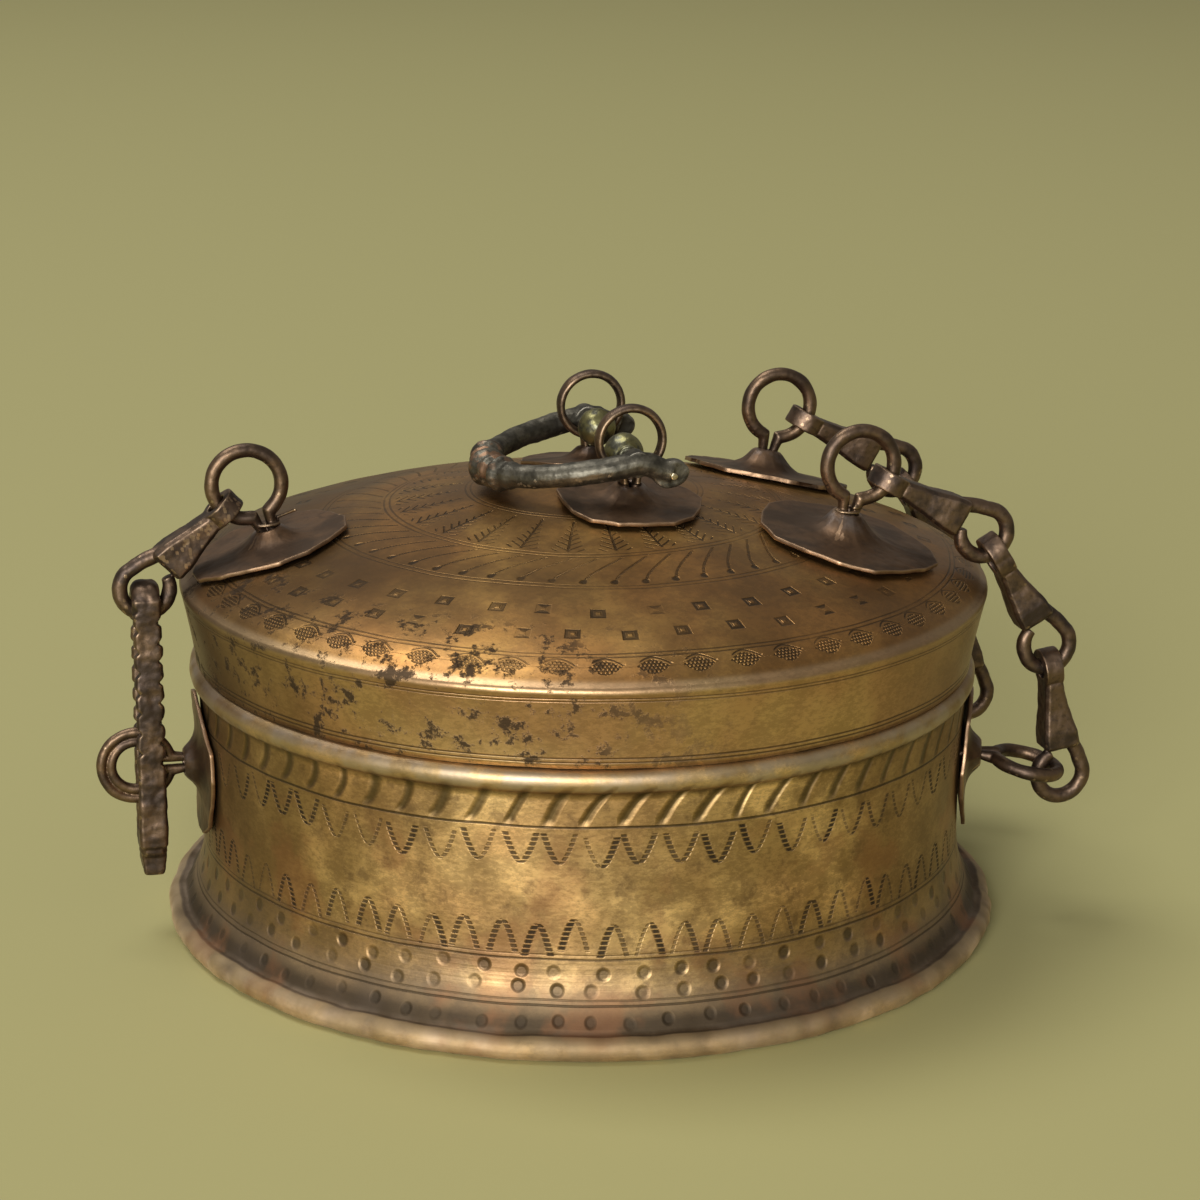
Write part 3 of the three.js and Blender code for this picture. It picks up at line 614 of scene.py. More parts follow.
# %% Lid metal
# Radius, spacing, width and strength of each double line on the dome
LID_RINGS = [
    (100.2, 1.2, 0.3, 1.0), (70.8, 1.5, 0.32, 0.75), (53.6, 1.5, 0.34, 0.8), (31.5, 1.4, 0.34, 0.8),
]
LID_GOLD = (0.5, 0.29, 0.09)
LID_RUST = (0.44, 0.225, 0.072)
LID_BROWN = (0.27, 0.14, 0.05)
SKIRT_GOLD = (0.64, 0.42, 0.2)
SKIRT_RUST = (0.56, 0.33, 0.165)
SKIRT_SIDE_SHADE = (0.17, 0.1, 0.055)
SPECK_BROWN = (0.13, 0.08, 0.04)
EDGE_SIDE_SHADE = (0.13, 0.075, 0.032)
MIDDLE_BROWN = (0.14, 0.085, 0.035)
STAIN_BLACK = (0.05, 0.035, 0.024)
FIGURE_BLACK = (0.05, 0.034, 0.02)
RING_BLACK = (0.06, 0.04, 0.022)
RIM_HIGHLIGHT = (0.44, 0.33, 0.19)


def lid_brass():
    g = Graph("lid_brass")
    flat = g.from_axis()
    away = flat + g.sway(0.9, 30, 2)
    top = g.z.fade(97.2, 96.2)
    skirt = 1.0 - top
    skirt_up = g.z + g.sway(0.8, 45, 2)
    outside = outer_lid(g)
    worn_off = g.noise(26, 4, shift=21.0).fade(0.42, 0.66) * 0.55 + 0.45

    figures = total([
        almonds(g, away, radius=104.1, count=56),
        squares(g, away, radius=92.2, count=43, shift=0.0),
        squares(g, away, radius=82.4, count=39, shift=0.4),
        feathers(g, away, inner=55.2, outer=68.6, count=54, sweep=11.0),
        barbed_rays(g, away, inner=34, outer=51, count=26),
    ]) * top * worn_off * outside
    rings = total(double_groove(away - radius, spacing, width) * strength
                  for radius, spacing, width, strength in LID_RINGS)
    skirt_lines = double_groove(skirt_up - 92.6, 0.8, 0.24) * 0.7 + double_groove(skirt_up - 76.4, 1.1, 0.3)
    lines = (rings * top * worn_off + skirt * skirt_lines) * outside

    turned = g.noise(1.3, 3, (0.12, 0.12, 0.4), shift=2.0)
    fine = g.noise(0.7, 2)
    mottle = g.noise(18, 5, shift=4.0)
    patches = g.noise(42, 3, shift=31.0)
    specks = g.noise(3.2, 5, shift=6.0, roughness=0.75)
    stains = g.noise(6.5, 7, shift=17.0, roughness=0.74)
    hasp_side = (g.x * 0.85 + g.y * 0.6 + (mottle - 0.5) * 60).fade(-92, -45)
    stain_here = hasp_side * flat.fade(92, 84) * stains.fade(0.6, 0.53)
    # Painted shade: the lid's two sides as the camera sees them, on its outer part most on the hasp's side,
    # and on the skirt.
    sides = painted_side_shade(g)
    lid_side_shade = sides * flat.fade(78, 52) * (g.x.fade(-70, 30) * 0.58 + 0.2)
    # Painted highlight: a pale band round the rolled rim, weaker where the stains lie.
    rim = abs(g.z - 95.6).fade(0.7, 2.1) * flat.fade(107.2, 106) * (1.0 - stain_here * 0.8)

    dome_tone = g.blend(patches.fade(0.4, 0.6), LID_GOLD, LID_RUST)
    dome_tone = g.coat(dome_tone, [(mottle.fade(0.4, 0.62), 0.6, LID_BROWN)])
    skirt_tone = g.blend(patches.fade(0.42, 0.6), SKIRT_GOLD, SKIRT_RUST)
    colour = g.coat(g.blend(skirt, dome_tone, skirt_tone), [
        (specks.fade(0.74, 0.64), 0.5, SPECK_BROWN),
        (brown_grain(g), 0.34, GRAIN_BROWN),
        # Painted shade on the lid's two sides and on the skirt's two sides.
        (lid_side_shade, 1.0, EDGE_SIDE_SHADE),
        (sides * skirt, 0.42, SKIRT_SIDE_SHADE),
        (flat.fade(30, 58), 0.3, MIDDLE_BROWN),
        (stain_here, 0.88, STAIN_BLACK),
        (figures.at_most(1.0), 0.86, FIGURE_BLACK),
        (lines.at_most(1.0), 0.72, RING_BLACK),
        # Painted highlight on the rolled rim.
        (rim, 0.3, RIM_HIGHLIGHT),
    ])
    relief = total([
        figures * -0.26, lines * -0.13, turned * 0.035, fine * 0.02, mottle * 0.22, stain_here * 0.04,
    ])
    rough = total([mottle * 0.16, stains * 0.12, stain_here * 0.25, 0.28])
    return g.finish(colour, rough, relief)


# %% [markdown]
# ## Plain metals
# The sheet plates, the forged links, the handle and the small pins are darker metal with rubbed edges. A
# material for each could be written out, but they aged alike, so one recipe serves them all with its own
# tones and grain, and a few pieces get a last coat of their own.


# %% Plain metals
def grey_cone(g, colour):
    """A grey bloom on the cone of a plate, where the wire comes through and nothing rubs."""
    cone = g.attribute("cone") * g.noise(4.0, 3, shift=66.0).fade(0.66, 0.4)
    return g.coat(colour, [(cone, 0.8, (0.3, 0.26, 0.24))])


def copper_knuckle(g, colour):
    """The handle's beaded middle is rubbed down to copper red."""
    near = g.x.fade(-23.0, -18.0) * abs(g.y).fade(8.0, 14.0)
    return g.coat(colour, [(near * g.noise(3.0, 3, shift=50.0).fade(0.6, 0.46), 0.7, (0.34, 0.19, 0.11))])


def verdigris(g, colour):
    """Yellow-green patina on the balls of the pivot pins."""
    near = abs(g.y).fade(19.5, 21.5)
    return g.coat(colour, [(near * g.noise(3.5, 4, shift=40.0).fade(0.56, 0.4), 1.0, (0.24, 0.22, 0.1))])


def worn_metal(name, dark, middle, bright, roughness, grain, last_coat=None):
    """Patinated metal: two tones in patches, bright where it is rubbed, and a hammered grain."""
    g = Graph(name)
    mottle = g.noise(grain * 3.2, 5, shift=2.0)
    fine = g.noise(grain * 0.5, 4, shift=7.0)
    facets = g.noise(grain, 1.5, shift=11.0)
    rub = (g.edges(5.0) + (fine - 0.5) * 0.16).fade(0.78, 0.54)
    colour = g.blend(mottle.fade(0.62, 0.42), middle, dark)
    colour = g.coat(colour, [(fine.fade(0.68, 0.5), 0.5, dark), (rub, 0.75, bright)])
    if last_coat:
        colour = last_coat(g, colour)
    relief = total([facets * (grain * 0.07), fine * 0.05, g.noise(0.5, 2) * 0.02])
    rough = total([mottle * 0.2, (1.0 - rub) * 0.06, roughness - 0.1])
    return g.finish(colour, rough, relief)


metals = {
    "body_brass": body_brass(),
    "lid_brass": lid_brass(),
    "plate_copper": worn_metal(
        "plate_copper", dark=(0.1, 0.065, 0.042), middle=(0.19, 0.115, 0.066), bright=(0.46, 0.3, 0.18),
        roughness=0.44, grain=5.0, last_coat=grey_cone),
    "link_bronze": worn_metal(
        "link_bronze", dark=(0.075, 0.055, 0.044), middle=(0.18, 0.12, 0.08), bright=(0.36, 0.25, 0.155),
        roughness=0.42, grain=2.6),
    "ring_bronze": worn_metal(
        "ring_bronze", dark=(0.09, 0.062, 0.045), middle=(0.2, 0.13, 0.08), bright=(0.46, 0.33, 0.2),
        roughness=0.4, grain=3.0),
    "bail_bronze": worn_metal(
        "bail_bronze", dark=(0.07, 0.064, 0.05), middle=(0.16, 0.145, 0.112), bright=(0.46, 0.42, 0.34),
        roughness=0.45, grain=1.7, last_coat=copper_knuckle),
    "ball_bronze": worn_metal(
        "ball_bronze", dark=(0.07, 0.068, 0.05), middle=(0.14, 0.135, 0.095), bright=(0.42, 0.4, 0.27),
        roughness=0.38, grain=1.8, last_coat=verdigris),
    "pin_brass": worn_metal(
        "pin_brass", dark=(0.34, 0.27, 0.16), middle=(0.55, 0.45, 0.28), bright=(0.82, 0.72, 0.5),
        roughness=0.3, grain=1.2),
}
for name, metal in metals.items():
    print(name, len(metal.node_tree.nodes), "nodes")

# %% [markdown]
# ## Editing helpers
# Every piece starts from a primitive, an outline or a drawn wire, and is shaped with edit-mode operators
# and modifiers. They act on what is selected, so these helpers keep the selection clean. The frame's own
# objects must stay untouched.


# %% Editing helpers
def nothing_selected():
    if bpy.context.mode != "OBJECT":
        bpy.ops.object.mode_set(mode="OBJECT")
    bpy.ops.object.select_all(action="DESELECT")


def take(made):
    """Makes one object the only selected one."""
    nothing_selected()
    made.select_set(True)
    bpy.context.view_layer.objects.active = made


def edit(made, level="FACE"):
    """Edit mode with nothing selected yet."""
    take(made)
    bpy.ops.object.mode_set(mode="EDIT")
    bpy.ops.mesh.select_mode(type=level)
    bpy.ops.mesh.select_all(action="DESELECT")


def pick_faces(made, test):
    """In edit mode, selects the faces whose normal passes the test."""
    shape = bmesh.from_edit_mesh(made.data)
    for face in shape.faces:
        face.select_set(test(face.normal))
    bmesh.update_edit_mesh(made.data)


def seal():
    """Merges doubles, drops what is loose and turns all faces outwards, then leaves edit mode."""
    bpy.ops.mesh.select_all(action="SELECT")
    bpy.ops.mesh.remove_doubles(threshold=0.001 * MM)
    bpy.ops.mesh.delete_loose()
    bpy.ops.mesh.select_all(action="SELECT")
    bpy.ops.mesh.normals_make_consistent(inside=False)
    bpy.ops.object.mode_set(mode="OBJECT")


def modify(made, kind, **settings):
    """Adds one modifier and applies it."""
    take(made)
    step = made.modifiers.new("step", kind)
    for key, value in settings.items():
        setattr(step, key, value)
    bpy.ops.object.modifier_apply(modifier=step.name)


# %% [markdown]
# ## Hand marks
# Nothing on this box is quite even. A displace modifier with a texture could roughen a piece, but noise at
# each vertex's own place in millimetres gives every piece marks of one real size, with a seed of its own.


# %% Hand marks
def shake(point, scale, seed):
    """Smooth noise from -1 to 1 at a point, with features scale millimetres across."""
    return noise.noise(Vector(point) / scale + Vector((seed, seed * 1.7, -seed)))


def reshape(made, move):
    """Moves every vertex; move takes and gives a place in millimetres."""
    for vertex in made.data.vertices:
        vertex.co = Vector(move(vertex.co / MM)) * MM
    made.data.update()


def hammer(made, amount, scale, seed):
    """Pushes the skin in and out by hammer marks of two sizes."""
    outwards = [vertex.normal.copy() for vertex in made.data.vertices]
    for vertex, outward in zip(made.data.vertices, outwards):
        place = vertex.co / MM
        push = amount * (shake(place, scale, seed) + 0.5 * shake(place, scale * 0.45, seed + 5))
        vertex.co += outward * push * MM
    made.data.update()


# %% [markdown]
# ## Forged and drawn forms
# The smith's stock: blocks, rods and drawn wire. Overlapping parts could be joined by booleans, but those
# leave knife-sharp creases. A fine voxel remesh with some smoothing melts them together, as a forge does.


# %% Forged and drawn forms
def fuse(name, parts, voxel, smoothing):
    """Forges overlapping closed parts into one body."""
    take(parts[0])
    for part in parts[1:]:
        part.select_set(True)
    if len(parts) > 1:
        bpy.ops.object.join()
    made = bpy.context.object
    bpy.ops.object.transform_apply(location=True, rotation=True, scale=True)
    made.name = name
    modify(made, "REMESH", mode="VOXEL", voxel_size=voxel * MM)
    modify(made, "SMOOTH", iterations=smoothing)
    return made


def cut_away(made, cutter):
    modify(made, "BOOLEAN", object=cutter, operation="DIFFERENCE", solver="EXACT")
    bpy.data.objects.remove(cutter)


def block(place, size, bevel=0.0, tilt=0.0):
    """A cube with chamfered edges, all in millimetres; tilt turns it about Y."""
    nothing_selected()
    where = Vector(place) * MM
    bpy.ops.mesh.primitive_cube_add(size=1, location=where, rotation=(0, tilt, 0), scale=Vector(size) * MM)
    made = bpy.context.object
    bpy.ops.object.transform_apply(location=True, rotation=True, scale=True)
    if bevel:
        modify(made, "BEVEL", width=bevel * MM, segments=1)
    return made


def rod(start, end, radius, sides=24):
    """A cylinder between two places in millimetres."""
    nothing_selected()
    start, end = Vector(start), Vector(end)
    way = end - start
    bpy.ops.mesh.primitive_cylinder_add(
        vertices=sides, radius=radius * MM, depth=way.length * MM,
        location=(start + end) / 2 * MM, rotation=way.to_track_quat("Z", "Y").to_euler())
    made = bpy.context.object
    bpy.ops.object.transform_apply(location=True, rotation=True, scale=True)
    return made


def drawn_wire(points, radii):
    """A round wire drawn along points, with its thickness at each, in millimetres."""
    curve = bpy.data.curves.new("wire", "CURVE")
    curve.dimensions = "3D"
    curve.bevel_depth = MM
    curve.bevel_resolution = 6
    curve.use_fill_caps = True
    line = curve.splines.new("POLY")
    line.points.add(len(points) - 1)
    for knot, place, radius in zip(line.points, points, radii):
        knot.co = (*(Vector(place) * MM), 1)
        knot.radius = radius
    made = bpy.data.objects.new("wire", curve)
    bpy.context.scene.collection.objects.link(made)
    take(made)
    bpy.ops.object.convert(target="MESH")
    made = bpy.context.object
    edit(made)
    seal()
    return made


def arc(centre, radius, start, end, steps):
    """Points on a circle in the XZ plane, angles in degrees."""
    turns = [math.radians(start + (end - start) * i / steps) for i in range(steps + 1)]
    return [Vector((centre[0] + radius * math.cos(t), 0, centre[1] + radius * math.sin(t))) for t in turns]


# %% [markdown]
# ## Settling a piece
# A finished piece is laid in place in its mesh, so that its object stays at the origin and its patterns
# stay on it. Moving the object would be shorter, but its patterns would slide when the parts are exported.


# %% Settling a piece
def put(made, matrix):
    """Places a finished shape; the matrix is in millimetres."""
    made.data.transform(Matrix.Scale(MM, 4) @ matrix @ Matrix.Scale(1 / MM, 4))
    made.data.update()


def settle(made, node, body, slot, metal=None):
    """Gives the piece its metal, and its node's place on its body."""
    made.name = f"{node}_metal"
    made.data.materials.clear()
    made.data.materials.append(metals[metal or slot])
    take(made)
    bpy.ops.object.shade_smooth()
    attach(made, body)
    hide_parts(node)
    print(node, len(made.data.polygons), "faces")


# %% [markdown]
# ## Turned shells
# The drum and the lid were spun from sheet. A closed outline is laid out on a circle primitive and spun
# round Z. A Screw modifier could turn it too, but after a spin the seam's doubles can be merged and the
# faces turned outwards at once, before the dents of the hand work are pressed in.

# %% Turned shells
ROUND_STEPS = 480


def turned(outline):
    """A shell spun round Z from a closed outline of (radius, height) points in millimetres."""
    nothing_selected()
    bpy.ops.mesh.primitive_circle_add(vertices=len(outline), radius=MM, fill_type="NOTHING")
    made = bpy.context.object
    for vertex, (radius, height) in zip(made.data.vertices, outline):
        vertex.co = (radius * MM, 0, height * MM)
    edit(made, "VERT")
    bpy.ops.mesh.select_all(action="SELECT")
    bpy.ops.mesh.spin(steps=ROUND_STEPS, angle=2 * math.pi, center=(0, 0, 0), axis=(0, 0, 1))
    seal()
    return made


def bend(centre, radius, start, end, steps):
    """Points of an arc in an outline, angles in degrees."""
    turns = [math.radians(start + (end - start) * i / steps) for i in range(steps + 1)]
    return [(centre[0] + radius * math.cos(t), centre[1] + radius * math.sin(t)) for t in turns]


# %% [markdown]
# ## Drum
# The wall swells out to a rolled hem at the foot, which is dented all round, and ends in a shoulder bead
# and a plain neck. The wall was raised by hand, so it is never quite round or level. A cylinder could be
# scaled ring by ring, but one spun outline keeps hem, bead and sheet thickness true to the CAD sizes. The
# base disc inside the hem is the CAD model's own flat sheet in the same metal.

# %% Drum
FOOT_RADIUS = node_box("body_shell")[1].x
NECK_TOP = node_box("body_shell")[1].z
HEM = 3.2
HEM_CENTRE = FOOT_RADIUS - HEM
HEM_START, HEM_END = 114, -205
WAIST_RADIUS = 104.4
WAIST_HEIGHT = 33
WALL = 1.6
BEAD = 3.4
BEAD_CENTRE = (104.15, 70.6)
BEAD_START = -70
NECK_RADIUS = 103.3
FLARE_POWER = 3.26
HEM_DENT_HEIGHT = 7
FLARE_FOOT = bend((HEM_CENTRE, HEM), HEM, HEM_START, HEM_START, 1)[0]
SHOULDER = bend(BEAD_CENTRE, BEAD, BEAD_START, BEAD_START, 1)[0]


def wall_radius(z):
    if z < WAIST_HEIGHT:
        share = min((WAIST_HEIGHT - z) / (WAIST_HEIGHT - FLARE_FOOT[1]), 1)
        return WAIST_RADIUS + (FLARE_FOOT[0] - WAIST_RADIUS) * share ** FLARE_POWER
    share = min((z - WAIST_HEIGHT) / (SHOULDER[1] - WAIST_HEIGHT), 1)
    return WAIST_RADIUS + (SHOULDER[0] - WAIST_RADIUS) * share ** 2


def drum_outline():
    bead_end = math.degrees(math.acos((NECK_RADIUS - BEAD_CENTRE[0]) / BEAD))
    wall = [FLARE_FOOT[1] + (SHOULDER[1] - FLARE_FOOT[1]) * (i / 40) ** 1.15 for i in range(1, 40)]
    inner = [SHOULDER[1] - BEAD / 4 - (SHOULDER[1] - BEAD / 4 - FLARE_FOOT[1]) * i / 14 for i in range(15)]
    lip = bend((NECK_RADIUS - WALL / 2, NECK_TOP - WALL / 2), WALL / 2, 0, 180, 6)
    return [
        *bend((HEM_CENTRE, HEM), HEM, HEM_END, HEM_START, 18),
        *[(wall_radius(z), z) for z in wall],
        *bend(BEAD_CENTRE, BEAD, BEAD_START, bead_end, 10),
        *lip,
        (NECK_RADIUS - WALL, BEAD_CENTRE[1] + BEAD / 2),
        *[(wall_radius(z) - WALL, z) for z in inner],
    ]


def wall_dent(turn_here, z):
    """How far the wall stands off its true circle."""
    place = (math.cos(turn_here) * 60, math.sin(turn_here) * 60, z * 0.5)
    return min(0.22 * math.sin(2 * turn_here + 0.6) + 0.28 * shake(place, 34, 3), 0.25)


def drum_marks(place):
    t, r, z = math.atan2(place.y, place.x), math.hypot(place.x, place.y), place.z
    hem = (math.cos(t) * HEM_CENTRE, math.sin(t) * HEM_CENTRE, 0)
    grow, rise = wall_dent(t, z) if z < BEAD_CENTRE[1] + BEAD / 3 else 0.0, 0.0
    if r > wall_radius(z) - WALL / 2 or z < FLARE_FOOT[1]:
        dents = max(0.0, min(1.0, 1 - (z - FLARE_FOOT[1]) / HEM_DENT_HEIGHT))
        grow += dents * min(0.55 * shake(hem, 15, 8) + 0.45 * shake(hem, 6.5, 12), 0.4)
        rise += dents * min(1.0, z / (2 * HEM)) * (0.5 * shake(hem, 21, 15) + 0.3 * shake(hem, 8, 19))
    if abs(z - BEAD_CENTRE[1]) < BEAD and r > BEAD_CENTRE[0] + 1:
        grow += 0.16 * shake(hem, 11, 23)
        rise += 0.1 * shake(hem, 11, 23)
    return (r + grow) * math.cos(t), (r + grow) * math.sin(t), z + rise


drum = turned(drum_outline())
reshape(drum, drum_marks)
settle(drum, "body_shell", "drum", "body_brass")
base = frame["nodes"]["base_disc"]
base.material_slots[0].material = metals["body_brass"]

# %% [markdown]
# ## Lid
# A shallow dome with a rolled rim, on which its metal carries a painted highlight. Its skirt flares upwards
# and its lower edge waves a little. It is spun like the drum, because dome, rim and skirt are one sheet,
# and a squashed sphere with a ring added would show a seam. The dome's formula also tells how high each
# fitting on it stands.

# %% Lid
LID_LOW, LID_HIGH = node_box("lid_shell")
RIM_RADIUS = LID_HIGH.x
RIM_ROUND = 1.7
SKIRT_RADIUS = 106
SKIRT_HEIGHT = 20.2
LID_SHEET = 1.5
DOME_RISE = 25.8
RIM_TOP = LID_LOW.z + SKIRT_HEIGHT + RIM_ROUND
DOME_RADIUS = RIM_RADIUS - RIM_ROUND


def dome_height(r):
    share = min(r / DOME_RADIUS, 1)
    return RIM_TOP + DOME_RISE * (1 - share ** 1.15) ** 0.65


def lid_outline():
    shares = [(i / 46) ** 0.85 * 0.99 for i in range(47)]
    skirt_shares = [0.97 * (1 - i / 13) for i in range(14)]
    skirt = [(SKIRT_RADIUS + (RIM_RADIUS - SKIRT_RADIUS) * s ** 1.25, LID_LOW.z + s * SKIRT_HEIGHT)
             for s in skirt_shares]
    return [
        *[(s * DOME_RADIUS, dome_height(s * DOME_RADIUS)) for s in shares],
        *bend((DOME_RADIUS, RIM_TOP - RIM_ROUND), RIM_ROUND, 70, -15, 10),
        *skirt,
        *[(r - LID_SHEET, z) for r, z in reversed(skirt[1:])],
        (DOME_RADIUS - LID_SHEET / 2, RIM_TOP - RIM_ROUND),
        *[(s * DOME_RADIUS, dome_height(s * DOME_RADIUS) - LID_SHEET) for s in reversed(shares[::3])],
    ]


def dome_dent(x, y):
    """How far the dome stands off its true form."""
    flat = math.hypot(x, y)
    edge = max(0.0, min(1.0, (flat - 8) / 20)) * (0.5 if flat > 104 else 1.0)
    return edge * (0.35 * shake((x, y, 0), 30, 41) + 0.12 * shake((x, y, 0), 11, 43))


def lid_marks(place):
    t, r = math.atan2(place.y, place.x), math.hypot(place.x, place.y)
    rim = (math.cos(t) * RIM_RADIUS, math.sin(t) * RIM_RADIUS, 0)
    wave = 0.32 * shake(rim, 26, 31) + 0.14 * shake(rim, 8, 37)
    low = max(0.0, min(1.0, 1 - (place.z - LID_LOW.z) / SKIRT_HEIGHT)) ** 2
    rise = low * max(wave, -0.1) + (1 - low) * dome_dent(place.x, place.y)
    r += 0.15 * wave * min(1.0, r / RIM_RADIUS)
    return r * math.cos(t), r * math.sin(t), place.z + rise


lid = turned(lid_outline())
reshape(lid, lid_marks)
settle(lid, "lid_shell", "lid", "lid_brass")

# %% [markdown]
# ## Where the fittings stand
# Each wire loop stands on the lid or the wall with two legs through it. A seat is the loop's own set of
# axes: X lies in the ring's plane, Y crosses it, and Z points out of the metal. With one list of fittings,
# a plate and its loop can't drift apart, which two lists of placed pieces would allow.

# %% Seats
SEAT_GAP = 0.37
PLATE_SHEET = 1.1
WIRE = 1.95
LEG_WIRE = 1.25
LID_RING, WALL_RING, BAIL_RING = 9.25, 8.8, 8.6
CHAIN_BOSS, CLOSURE_BOSS, BAIL_BOSS, WALL_BOSS = 6.4, 4.0, 4.0, 4.5
CHAIN_PLATE, CLOSURE_PLATE, SMALL_PLATE = 24, 21, 19.5
CLOSURE_X, CHAIN_X, BAIL_X = -86.5, 62.9, 7
CHAIN_Y = abs(joint_place("front_upper_swing").y)
BAIL_RING_Y = 22.5
HASP_STAPLE_Z, CHAIN_STAPLE_Z = 47.2, 46
STAPLE_TURN = math.radians(17.564)


def lid_seat(x, y):
    axes = Matrix.Identity(4)
    axes.translation = (x, y, dome_height(math.hypot(x, y)))
    return axes


def wall_seat(turn_here, z, flat):
    """On the drum's wall; flat lays the ring level, else it stands upright."""
    out = Vector((math.cos(turn_here), math.sin(turn_here), 0))
    round_way, up = Vector((-out.y, out.x, 0)), Vector((0, 0, 1))
    first, second = (round_way, up) if flat else (-up, round_way)
    axes = Matrix((first, second, out)).transposed().to_4x4()
    axes.translation = out * wall_radius(z) + up * z
    return axes


# A ring leans and tips by degrees. Its wire is deep across the ring and wide along its axis. Insets are
# those of the wires that lie in it. Binding is the way round in which a thin wire binds the neck, if any.
Fitting = namedtuple(
    "Fitting", "name body seat plate boss ring lean tip deep wide insets binding",
    defaults=(0, 0, WIRE, WIRE, (0.0,), 0))
fittings = [
    Fitting(
        "closure", "lid", lid_seat(CLOSURE_X, 0),
        CLOSURE_PLATE, CLOSURE_BOSS, LID_RING, lean=-24, binding=1),
    Fitting(
        "hasp_staple", "drum", wall_seat(math.pi, HASP_STAPLE_Z, False),
        SMALL_PLATE, WALL_BOSS, WALL_RING, insets=(-0.5, 2.1)),
]
for word, side, binding in (("front", -1, -1), ("rear", 1, 0)):
    fittings += [
        Fitting(
            f"lid_chain_{word}", "lid", lid_seat(CHAIN_X, side * CHAIN_Y),
            CHAIN_PLATE, CHAIN_BOSS, LID_RING, lean=14, binding=binding),
        Fitting(
            f"bail_{word}", "lid", lid_seat(BAIL_X, side * BAIL_RING_Y),
            SMALL_PLATE, BAIL_BOSS, BAIL_RING, deep=1.2, wide=2.2),
        Fitting(
            f"chain_staple_{word}", "drum", wall_seat(side * STAPLE_TURN, CHAIN_STAPLE_Z, True),
            SMALL_PLATE, WALL_BOSS, WALL_RING, tip=12),
    ]
print(len(fittings), "fittings")

# %% [markdown]
# ## Plates
# Thin sheet cut round with straight snips of the shears, drawn up to a cone where the wire comes through,
# and hammered down on the metal below. Its edge never lies quite flat. A shrinkwrap modifier could press a
# disc on the shell, but laying each ring of vertices by the shell's own formula also bends the cone and
# the lifted edge in the same step.

# %% Plates
LEG_HOLE = 3.0
CONE_FOOT = 0.17
BLOOM_END = 0.2
PLATE_STEPS = 192
PLATE_RINGS = 26
SNIP_SHARES = [1, 0.97, 1.02, 0.99, 0.95, 1, 1.03, 0.97, 0.99, 1.02, 0.95, 0.97, 1.02, 1, 0.96, 1.02]


def snipped(turn_here, first_snip):
    """Share of the radius at which the straight snips leave the edge."""
    count = len(SNIP_SHARES)
    step = 2 * math.pi / count
    at = (turn_here % (2 * math.pi)) / step
    near, far = (SNIP_SHARES[(int(at) + k + first_snip) % count] for k in (0, 1))
    part = (at - int(at)) * step
    # Distance along this turn to the chord between two corners
    return near * far * math.sin(step) / (near * math.sin(part) + far * math.sin(step - part))


def plate(fitting, first_snip):
    """A circle is drawn in ring by ring, laid on the metal below, and given its thickness."""
    nothing_selected()
    bpy.ops.mesh.primitive_circle_add(vertices=PLATE_STEPS, radius=2 * MM, fill_type="NOTHING")
    made = bpy.context.object
    edit(made, "EDGE")
    bpy.ops.mesh.select_all(action="SELECT")
    rings = [1 + (1 - i / PLATE_RINGS) for i in range(PLATE_RINGS + 1)]
    for wide, narrow in zip(rings, rings[1:]):
        bpy.ops.mesh.extrude_edges_move(TRANSFORM_OT_translate={"value": (0, 0, 0)})
        shrink = narrow / wide
        bpy.ops.transform.resize(value=(shrink, shrink, 1), center_override=(0, 0, 0))
    bpy.ops.mesh.select_all(action="SELECT")
    bpy.ops.mesh.normals_make_consistent(inside=False)
    bpy.ops.object.mode_set(mode="OBJECT")
    seat, seed = fitting.seat, 60 + first_snip

    def lay(place):
        t, share = math.atan2(place.y, place.x), max(0.0, math.hypot(place.x, place.y) - 1)
        reach = LEG_HOLE + share * (fitting.plate * snipped(t, first_snip) - LEG_HOLE)
        u, v = reach * math.cos(t), reach * math.sin(t)
        lift = 0.5 * share ** 3 + 0.25 * share ** 2 * (1 + shake((u, v, 0), 9, seed))
        lift += 0.1 * shake((u, v, 0), 5, seed)
        height = SEAT_GAP + PLATE_SHEET + fitting.boss / (1 + (share / CONE_FOOT) ** 2.2) + lift
        if fitting.body == "lid":
            x, y = seat.translation.x + u, seat.translation.y + v
            return x, y, dome_height(math.hypot(x, y)) + dome_dent(x, y) + height
        centre = math.atan2(seat.translation.y, seat.translation.x)
        turn_there, z = centre + u / WAIST_RADIUS, seat.translation.z + v
        out = wall_radius(z) + wall_dent(turn_there, z) + height
        return out * math.cos(turn_there), out * math.sin(turn_there), z

    cone = made.data.attributes.new("cone", "FLOAT", "POINT")
    for vertex, mark in zip(made.data.vertices, cone.data):
        share = max(0.0, vertex.co.length / MM - 1)
        mark.value = max(0.0, 1 - share / BLOOM_END)
    reshape(made, lay)
    out = seat.to_3x3() @ Vector((0, 0, 1))
    if sum(face.normal.dot(out) for face in made.data.polygons) < 0:
        made.data.flip_normals()
    modify(made, "SOLIDIFY", thickness=PLATE_SHEET * MM, offset=-1)
    modify(made, "BEVEL", width=0.22 * MM, segments=2, angle_limit=math.radians(50))
    hammer(made, amount=0.07, scale=3.2, seed=seed)
    settle(made, f"{fitting.name}_plate", fitting.body, "plate_copper")


for number, fitting in enumerate(fittings):
    plate(fitting, first_snip=3 + 5 * number)

# %% [markdown]
# ## Wire loops
# Each loop is one wire bent like a cotter pin: a ring, a tight neck, and two legs that go through the
# plate and the metal and are folded over inside. A torus with two cylinders would leave joints that the
# real wire hasn't. One curve drawn round is the real bend, and remeshing melts its neck together.

